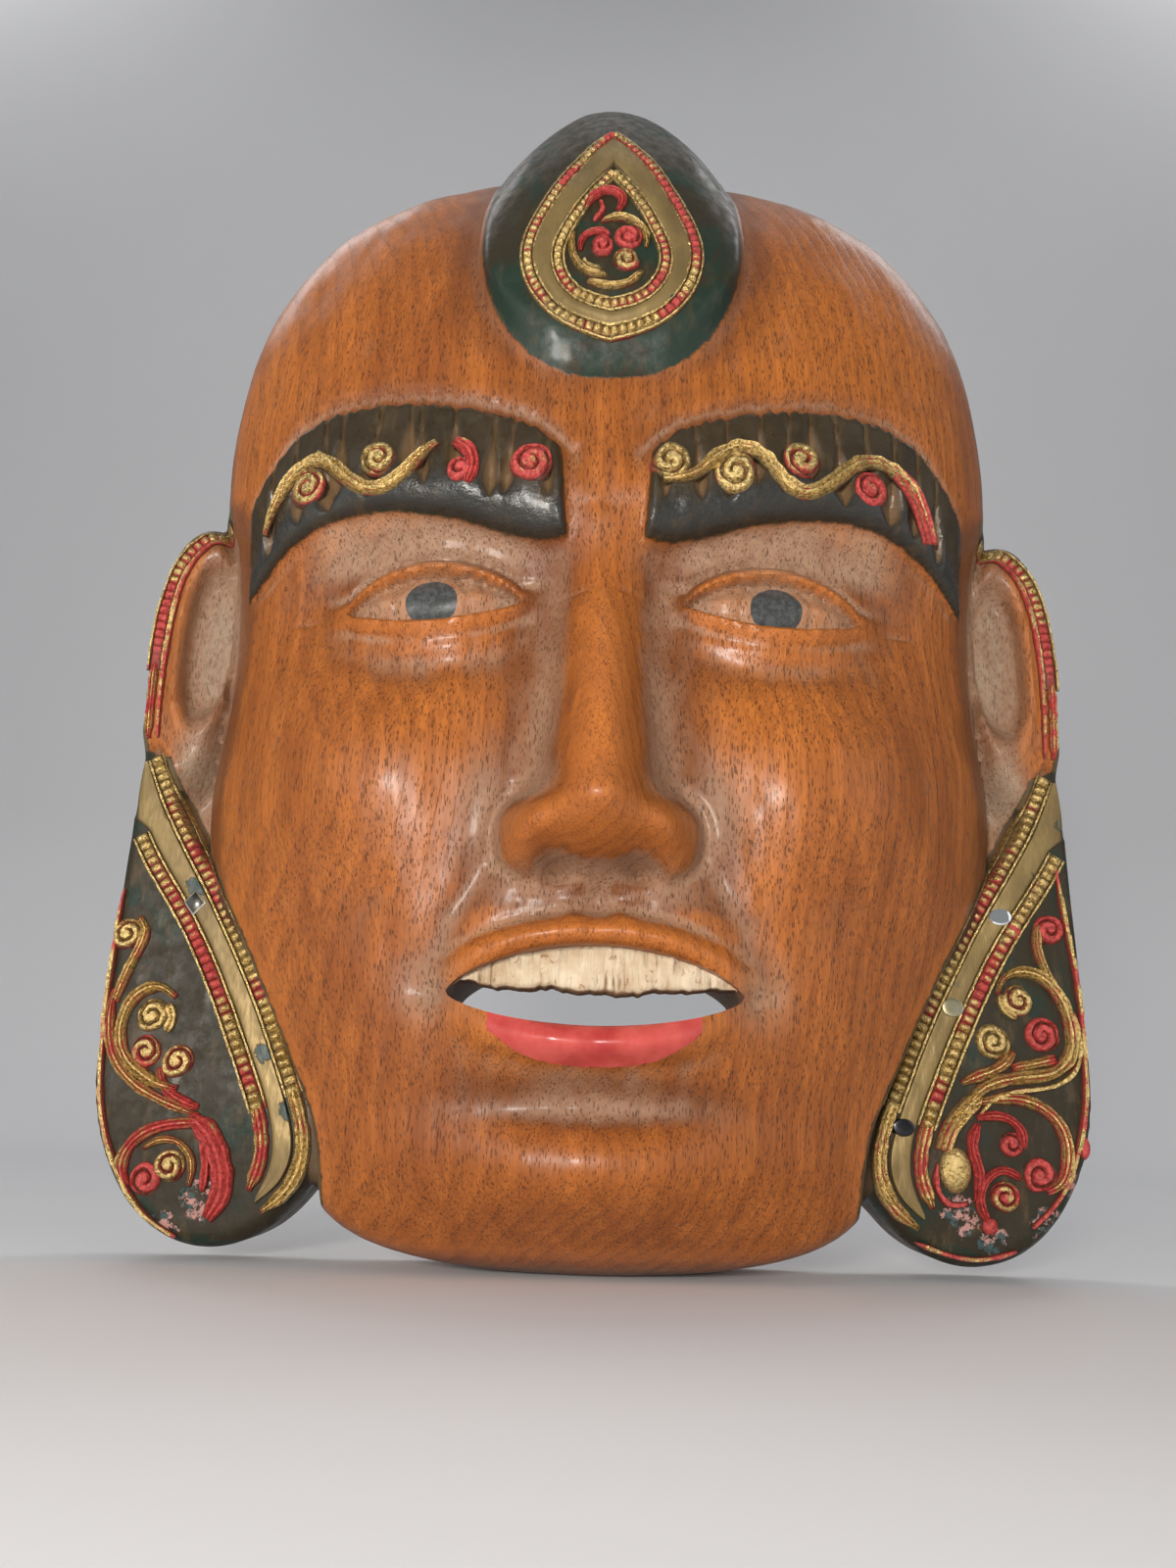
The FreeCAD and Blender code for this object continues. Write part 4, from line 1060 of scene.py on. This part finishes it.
def scrolls_right():
    r, s = Relief("right_scrolls", "right_lappet_scrollwork"), spline
    r.ribbon(s([(107.2, 54), (104.6, 61), (101.9, 67.5), (101.0, 72.5), (101.6, 77)]), 2.3, 1.5, 0.25,
             (0.6, 0.8))
    r.spiral(104.2, 75.8, 3.6, 1.4, 2.9, -1, 1.6, 0.85)
    r.ribbon(s([(90.8, 60.5), (92.6, 64.2), (97, 65.9), (102, 64.2), (105.4, 59.5), (106.8, 53.2),
                (106, 47.6), (102.4, 43.9), (96, 42.6), (89.5, 41.4), (84.5, 38.6), (82.2, 33.5)]),
             3.1, 1.7, 0.28, (0.4, 0.7))
    r.rope(s([(107.9, 57), (108.5, 50), (106.9, 44.4), (102.4, 41.0), (95, 39.6), (88.5, 37.6), (84.8, 34)]),
           1.5, 1.4, 0.3)
    r.spiral(95.6, 59.4, 3.5, 1.3, 2.6, 1, 1.6, 0.35)
    r.rope(s([(91.6, 60.8), (92.4, 57.2), (95, 55.4)]), 2.2, 1.6, 0.1, (0.4, 0.6), 2)
    r.spiral(100.2, 51.6, 4.0, 1.6, 0.4, 1, 1.7, 0.95)
    r.spiral(89.0, 50.2, 4.1, 1.6, 5.6, -1, 1.6, 0.08)
    r.ribbon(s([(81.6, 41), (86, 42.9), (90.5, 44.9), (93.6, 48.2)]), 2.6, 1.5, 0.35, (0.5, 0.6))
    r.ribbon(s([(93, 44.6), (98, 45.6), (103, 46.8)]), 2.4, 1.3, 0.5, (0.6, 0.9))
    r.ribbon(s([(84.6, 36.8), (90, 37.9), (95.5, 37.5), (100.4, 35), (103.2, 30.6), (103.6, 25.4),
                (101.8, 20.6), (98.8, 18.6)]), 2.7, 1.6, 0.4, (0.6, 0.7))
    r.spiral(97.5, 22.2, 3.7, 1.3, 4.9, -1, 1.6, 0.9)
    r.ribbon(s([(84.4, 33.6), (88, 34.2), (92, 33.2), (94.2, 30.2), (94, 27.4)]), 2.1, 1.5, 0.75, (0.6, 0.7))
    r.spiral(91.5, 28.2, 2.7, 1.1, 0.5, -1, 1.5, 0.95)
    r.ribbon(s([(86.2, 11.6), (84.4, 15.6), (85.6, 20.4), (89.6, 22.8), (93.4, 21)]), 1.9, 1.5, 0.8, (0.6, 0.7))
    r.spiral(89.7, 17.4, 3.4, 1.6, 1.7, -1, 1.6, 0.5)
    r.knob(86.4, 11.2, 1.9, 1.4, 0.95)
    r.knob(96.2, 75.4, 1.7, 1.3, 0.9, 2.3)
    r.knob(107.6, 28, 1.3, 1.1, 0.95, 2.6)
    r.knob(79.2, 22.6, 3.7, 2.2, 0.0, 5.2, 2.6)
    r.ribbon(s([(76.6, 26.5), (78.4, 31), (81.6, 35), (85.6, 38.8)]), 4.2, 1.8, 0.3, (0.9, 0.4))
    r.ribbon(s([(83.4, 16), (84.2, 22.4), (83, 28), (84.6, 32.6)]), 2.4, 1.6, 0.85, (0.4, 0.6))
    r.rope(s([(75.4, 24), (75.2, 18.8), (77.6, 15.6), (81.8, 15.8)]), 1.5, 1.2, 0.9)
    r.rope(s([(70, 7.6), (77, 5.2), (85, 4.4), (92, 6.2)]), 1.3, 0.9, 0.6)
    r.gilt()
    rim_cord("right", [(106.9, 91), (107.6, 82), (108.7, 71), (109.4, 60), (109.3, 48), (108.3, 36),
                       (105.6, 26), (101.4, 17.2), (95.4, 11)])


def scrolls_left():
    r, s = Relief("left_scrolls", "left_lappet_scrollwork"), spline
    r.spiral(-107.2, 69.6, 3.7, 1.7, 0.2, 1, 1.6, 0.3)
    r.ribbon(s([(-105.2, 73.6), (-103.4, 70.8), (-104.2, 66), (-106.4, 60), (-108, 54)]), 2.5, 1.5, 0.35,
             (0.6, 0.8))
    r.ribbon(s([(-108.3, 57), (-108.5, 50), (-107, 43.6), (-103.4, 38.4), (-98, 34.6), (-91.5, 31.8),
                (-86, 29.8)]), 2.5, 1.5, 0.45)
    r.ribbon(s([(-94.4, 55.4), (-98, 57.6), (-102.6, 56.2), (-105.2, 52), (-105.6, 46.8), (-103.6, 42),
                (-100, 38.8), (-96, 36.6), (-91.5, 35.4)]), 2.9, 1.7, 0.25, (0.5, 0.6))
    r.spiral(-99.0, 51.4, 3.7, 1.6, 2.0, 1, 1.6, 0.12)
    r.rope(s([(-96.0, 54), (-94.6, 51.2), (-95.6, 47.6)]), 2.4, 1.6, 0.0, (0.5, 0.5), 2)
    r.spiral(-99.4, 43.4, 3.5, 1.5, 1.2, -1, 1.6, 0.5)
    r.spiral(-92.2, 41.4, 3.7, 1.5, 1.0, 1, 1.5, 0.4)
    r.ribbon(s([(-95.8, 40), (-94.6, 36.4), (-91, 33.4), (-86.4, 31.6)]), 2.3, 1.5, 0.6, (0.5, 0.7))
    r.ribbon(s([(-85.4, 28.4), (-90, 28.2), (-95.5, 27), (-100, 24), (-102, 19.4), (-100.4, 14.6)]),
             3.0, 1.6, 0.55, (0.6, 0.6))
    r.spiral(-96.4, 16.4, 3.5, 1.2, 3.2, -1, 1.6, 0.9)
    r.spiral(-91.4, 19.4, 3.6, 1.6, 0.0, 1, 1.6, 0.35)
    r.ribbon(s([(-97.6, 22.6), (-94, 24.6), (-89.6, 24), (-86.8, 20.4), (-87, 15)]), 1.8, 1.4, 0.45)
    r.ribbon(s([(-88, 29.8), (-83.8, 26.4), (-80.8, 21), (-79.8, 14.5), (-82.6, 8.4)]), 5.0, 1.9, 0.8,
             (0.5, 0.5))
    r.rope(s([(-84.8, 26), (-83.7, 20), (-83.9, 14)]), 2.0, 1.8, 0.9, (0.5, 0.4), 2)
    r.gilt()
    rim_cord("left", [(-109.6, 80), (-110, 62), (-109.6, 48), (-108.6, 36), (-106, 25), (-101.4, 15.6),
                      (-95.4, 8.4), (-89, 4.6)])


def rim_cord(word, pts):
    r = Relief(word + "_rim_cord", word + "_lappet_rim_cord")
    r.rope(spline(pts), 1.5, 1.5, 0.5, (0.5, 0.7))
    r.gilt()


def mirrors():
    """Three round chips on the right and a bevelled diamond on the left."""
    r = Relief("right_mirrors", "right_lappet_mirrors")
    # Each chip's last number is how clouded it is; the third, at 0.95, is painted dark as a painted reflection.
    for x, t, rx, rt, clouding_and_painted_dark in ((92.9, 78.3, 2.9, 2.3, 0.0), (80.6, 57.4, 2.8, 2.4, 0.5),
                              (68.2, 31.2, 2.7, 2.2, 0.95)):
        r.knob(x, t, rx, 1.5, clouding_and_painted_dark, rt, 10)
    r.done(MIRROR, "mirror_chip")
    r = Relief("left_mirrors", "left_lappet_mirrors")
    x, t = -92.6, 77.0
    mid = height(x, t)
    loops = [[(x + dx * grow, t + dt * grow, mid + up) for dx, dt in ((0, 3.0), (2.5, 0), (0, -3.0), (-2.5, 0))]
             for grow, up in ((0.8, 1.5), (1, 1.2), (1, -0.4))]
    faces = [(3, 2, 1, 0)]
    faces += [(i + k, (i + 1) % 4 + k, (i + 1) % 4 + k + 4, i + k + 4) for k in (0, 4) for i in range(4)]
    # The diamond's top is painted dark (0.85) as a painted reflection; its bevels are clear.
    r.add(place(*np.array(sum(loops, [])).T), faces, np.ones(12), np.repeat((0.85, 0.0), (4, 8)))
    r.done(MIRROR, "mirror_chip")


def tear(w, low, top):
    """A teardrop line, point up."""
    span = top - low
    half = [(0, low), (0.62 * w, low + 0.075 * span), (w, low + 0.33 * span), (0.78 * w, low + 0.58 * span),
            (0.37 * w, low + 0.83 * span), (0, top)]
    right = spline(half, 0.35)
    return np.vstack([right[::-1], (right * (-1, 1))[1:]])


def crown():
    r = Relief("crown_outer_beads", "crown_outer_beading")
    r.beads(tear(19.7, 203.9, 266.4), 2.3, 1.5, 2.0, 0.36)
    r.gilt()
    r = Relief("crown_gold_strip", "crown_gold_band")
    r.band(tear(18.8, 205.0, 264.5), tear(13.9, 208.8, 252.0), 0.95)
    r.done(BAND, "gold_band")
    r = Relief("crown_inner_beads", "crown_inner_beading")
    r.beads(tear(12.6, 210.4, 249.6), 2.1, 1.4, 1.9, 0.16)
    r.gilt()
    r, s = Relief("crown_scrolls", "crown_scrollwork"), spline
    r.ribbon(s([(-6.4, 237.6), (-4.2, 241.4), (-0.4, 242.9), (2.2, 240.2), (1.2, 236.6)]), 2.2, 1.5, 0.85,
             (0.7, 0.6))
    r.rope(s([(-3.2, 240), (-2.4, 237), (-4.4, 233.6)]), 1.6, 1.2, 0.75)
    r.ribbon(s([(-2.6, 233.2), (2, 234.6), (6.0, 232.8), (7.9, 229.6), (7.9, 226.6)]), 1.9, 1.4, 0.3)
    r.spiral(3.7, 229.1, 3.4, 1.3, 5.9, -1, 1.6, 0.92)
    r.ribbon(s([(-7.4, 225), (-6.6, 228.6), (-3.6, 230.2), (-0.6, 229)]), 1.7, 1.5, 0.7)
    r.spiral(-2.3, 226.0, 2.8, 1.3, 1.6, -1, 1.6, 0.85)
    r.spiral(3.2, 222.4, 3.1, 1.5, 2.2, -1, 1.6, 0.5)
    r.ribbon(s([(-8.9, 230.5), (-9.3, 225.6), (-7.6, 221), (-4, 218.2), (-1.0, 217.9)]), 1.8, 1.4, 0.15)
    r.rope(s([(-6.6, 223), (-5.4, 220.8), (-2.4, 220)]), 1.4, 1.2, 0.1)
    r.ribbon(s([(-5.6, 216.4), (-1, 215.2), (3.6, 216), (7.4, 219.6)]), 1.7, 1.2, 0.15)
    r.gilt()


def brows():
    r = Relief("right_brow_vine", "right_brow_scroll")
    vine = [(12.4, 166.2), (17, 166.6), (23, 171.0), (29, 174.9), (34.4, 173.4), (38.8, 168.2), (43.6, 165.8),
            (49, 168.0), (54.4, 173.0), (60, 176.0), (66, 174.8), (70.8, 170.4), (74, 164)]
    r.ribbon(spline(vine, 0.45), 3.5, 1.7, 0.16, (0.45, 0.6))
    r.spiral(14.0, 170.6, 4.6, 1.6, 4.4, 1, 1.7, 0.2)
    r.spiral(28.4, 168.8, 4.7, 1.7, 1.7, 1, 1.7, 0.22)
    r.spiral(43.4, 173.4, 4.5, 1.3, 4.0, -1, 1.7, 0.4)
    r.spiral(59.8, 169.2, 4.2, 1.4, 2.3, 1, 1.6, 0.85)
    r.ribbon(spline([(64.4, 175.6), (69, 172.6), (72.6, 167.6), (75.2, 160.6)]), 4.8, 1.7, 0.72, (0.6, 0.9))
    r.gilt()
    r = Relief("left_brow_vine", "left_brow_scroll")
    vine = [(-80, 161.2), (-77, 167.2), (-72, 173.0), (-66.6, 174.8), (-61, 171.4), (-55.8, 166.8),
            (-50.4, 165.6), (-45.2, 168.4), (-41, 172.8), (-38, 175.6)]
    r.ribbon(spline(vine, 0.45), 3.5, 1.7, 0.22, (0.45, 0.6))
    r.rope(spline([(-66.8, 177.2), (-63.4, 173.6), (-60.4, 170.4)]), 1.6, 1.5, 0.1)
    r.spiral(-68.6, 169.0, 4.4, 1.6, 1.6, -1, 1.7, 0.4)
    r.spiral(-51.4, 172.6, 4.5, 1.6, 4.4, -1, 1.7, 0.25)
    r.ribbon(spline([(-34.2, 175.4), (-31, 173.2), (-29.6, 169.6), (-30.8, 165)]), 3.2, 1.6, 0.7, (0.7, 0.6))
    r.spiral(-32.4, 168.2, 3.0, 1.0, 2.0, 1, 1.5, 0.85)
    r.spiral(-16.6, 169.6, 4.8, 1.6, 0.6, 1, 1.6, 0.75)
    r.gilt()


def teeth(material):
    """The pale strip in the top of the mouth: a slab with split fibres and a torn lower edge."""
    n, rows, deep, half = 150, 26, 7.0, 28.5
    x = np.linspace(-half, half, n)
    top = mouth_top(np.abs(x)) + 0.2
    torn = 0.2 * grain(x, x * 0, 1.1, 41) + 0.3 * grain(x, x * 0, 4.0, 42)
    low = np.minimum(MOUTH_T + 0.6 + (x / half) ** 2 * 1.6 + torn, top - 0.4)
    face = float(height(0.0, 67.5)) - 6.5
    u = np.linspace(0, 1, rows)[:, None]
    t = low * (1 - u) + top * u
    gx = np.broadcast_to(x, t.shape)
    ends = np.sqrt(np.clip((1 - np.abs(gx) / (half + 0.1)) / 0.05, 0, 1))
    bulge = -0.0024 * gx**2 + 0.9 * np.sqrt(np.clip(u / 0.12, 0, 1)) * ends
    seam = ((gx + 0.5 * grain(gx, t, 5, 46, 2)) / 8.4) % 1.0
    fibre = 0.2 * grain(gx, t, 0.55, 43, 7) + 0.22 * grain(gx, t, 1.9, 44, 3) - 0.3 * bell(seam, 0.5, 0.045)
    front = place(gx, t, face - 0.9 + bulge + fibre).reshape(-1, 3)
    back = place(gx, t, np.full_like(t, face - deep)).reshape(-1, 3)
    m = n * rows
    faces = []
    for i in range(rows - 1):
        for j in range(n - 1):
            a = i * n + j
            faces.append((a, a + 1, a + n + 1, a + n))
            faces.append((m + a, m + a + n, m + a + n + 1, m + a + 1))
    rim = list(range(n)) + [i * n + n - 1 for i in range(1, rows)]
    rim += [(rows - 1) * n + j for j in range(n - 2, -1, -1)] + [i * n for i in range(rows - 2, 0, -1)]
    for a, b in zip(rim, rim[1:] + rim[:1]):
        faces.append((b, a, m + a, m + b))
    lift = np.broadcast_to(ramp(u, 0.0, 0.1), t.shape) * np.clip(0.7 + fibre, 0, 1)
    lift = np.r_[lift.ravel(), np.zeros(m)]
    make("tooth_strip", np.vstack([front, back]), faces, material, ["upper_teeth"],
         {"lift": lift})


# ---------------------------------------------------------------- stage, light and camera

def stage_set():
    """A pale floor that sweeps up into a backdrop well behind the mask."""
    low, back, r = -0.2685, 0.95, 0.35
    line = [(-1.6, low), (back - r, low)]
    line += [(back - r + r * math.sin(w), low + r - r * math.cos(w))
             for w in np.linspace(0, math.pi / 2, 24)[1:]]
    line += [(back, 1.9)]
    verts = [(x, y, z) for y, z in line for x in (-2.2, 2.2)]
    faces = [(2 * i, 2 * i + 1, 2 * i + 3, 2 * i + 2) for i in range(len(line) - 1)]
    mesh = bpy.data.meshes.new("floor")
    mesh.from_pydata(verts, [], faces)
    mesh.polygons.foreach_set("use_smooth", [True] * len(faces))
    mesh.materials.append(floor_material())
    floor = bpy.data.objects.new("floor", mesh)
    bpy.context.scene.collection.objects.link(floor)


def lamp(name, where, size, watts, colour=(1, 1, 1)):
    """A round lamp aimed at the middle of the mask."""
    light = bpy.data.lights.new(name, "AREA")
    light.shape = "DISK"
    light.size, light.energy, light.color = size, watts, colour
    obj = bpy.data.objects.new(name, light)
    obj.location = where
    obj.rotation_euler = (Vector((0.0, -0.03, -0.12)) - Vector(where)).to_track_quat("-Z", "Y").to_euler()
    bpy.context.scene.collection.objects.link(obj)


def lights():
    """A small warm lamp near the camera, and broad soft ones at the sides, above and behind."""
    lamp("key", (-0.12, -0.57, -0.17), 0.11, 3.05, (1.0, 0.96, 0.9))
    lamp("fill_left", (-0.9, -0.8, 0.05), 0.9, 2.6)
    lamp("fill_right", (0.9, -0.7, 0.05), 0.9, 2.0)
    lamp("top", (0.0, 0.1, 1.3), 0.9, 1.7)
    lamp("behind_left", (-0.9, 0.85, 1.5), 0.8, 6.0)
    lamp("behind_right", (0.9, 0.85, 1.5), 0.8, 6.0)
    world = bpy.data.worlds.new("studio")
    world.use_nodes = True
    world.node_tree.nodes["Background"].inputs[0].default_value = (0.86, 0.88, 0.92, 1)
    world.node_tree.nodes["Background"].inputs[1].default_value = 0.22
    bpy.context.scene.view_settings.view_transform = "Standard"
    bpy.context.scene.world = world


def camera():
    """Close in, below the middle and tipped up, rolled by a degree or so."""
    tilt, roll, far = math.radians(16.0), math.radians(1.43), 0.300
    right = Vector((math.cos(roll), 0, math.sin(roll)))
    rise = Vector((-math.sin(roll), 0, math.cos(roll)))
    out = Vector((0, -1, 0))
    forward = math.sin(tilt) * rise - math.cos(tilt) * out
    up = math.cos(tilt) * rise + math.sin(tilt) * out
    aim = Vector((-0.0028, 0, (113.5 - NAIL_T) / 1000))
    data = bpy.data.cameras.new("camera")
    data.lens, data.sensor_width, data.clip_start = 27.0, 36.0, 0.01
    cam = bpy.data.objects.new("camera", data)
    cam.matrix_world = Matrix((right, up, -forward)).transposed().to_4x4()
    cam.matrix_world.translation = aim - far * forward
    bpy.context.scene.collection.objects.link(cam)
    bpy.context.scene.camera = cam


camera()
carving(body_material())
teeth(tooth_material())
crown()
brows()
for side, word in ((1, "right"), (-1, "left")):
    side_rows(side, word)
scrolls_right()
scrolls_left()
mirrors()
stage_set()
lights()
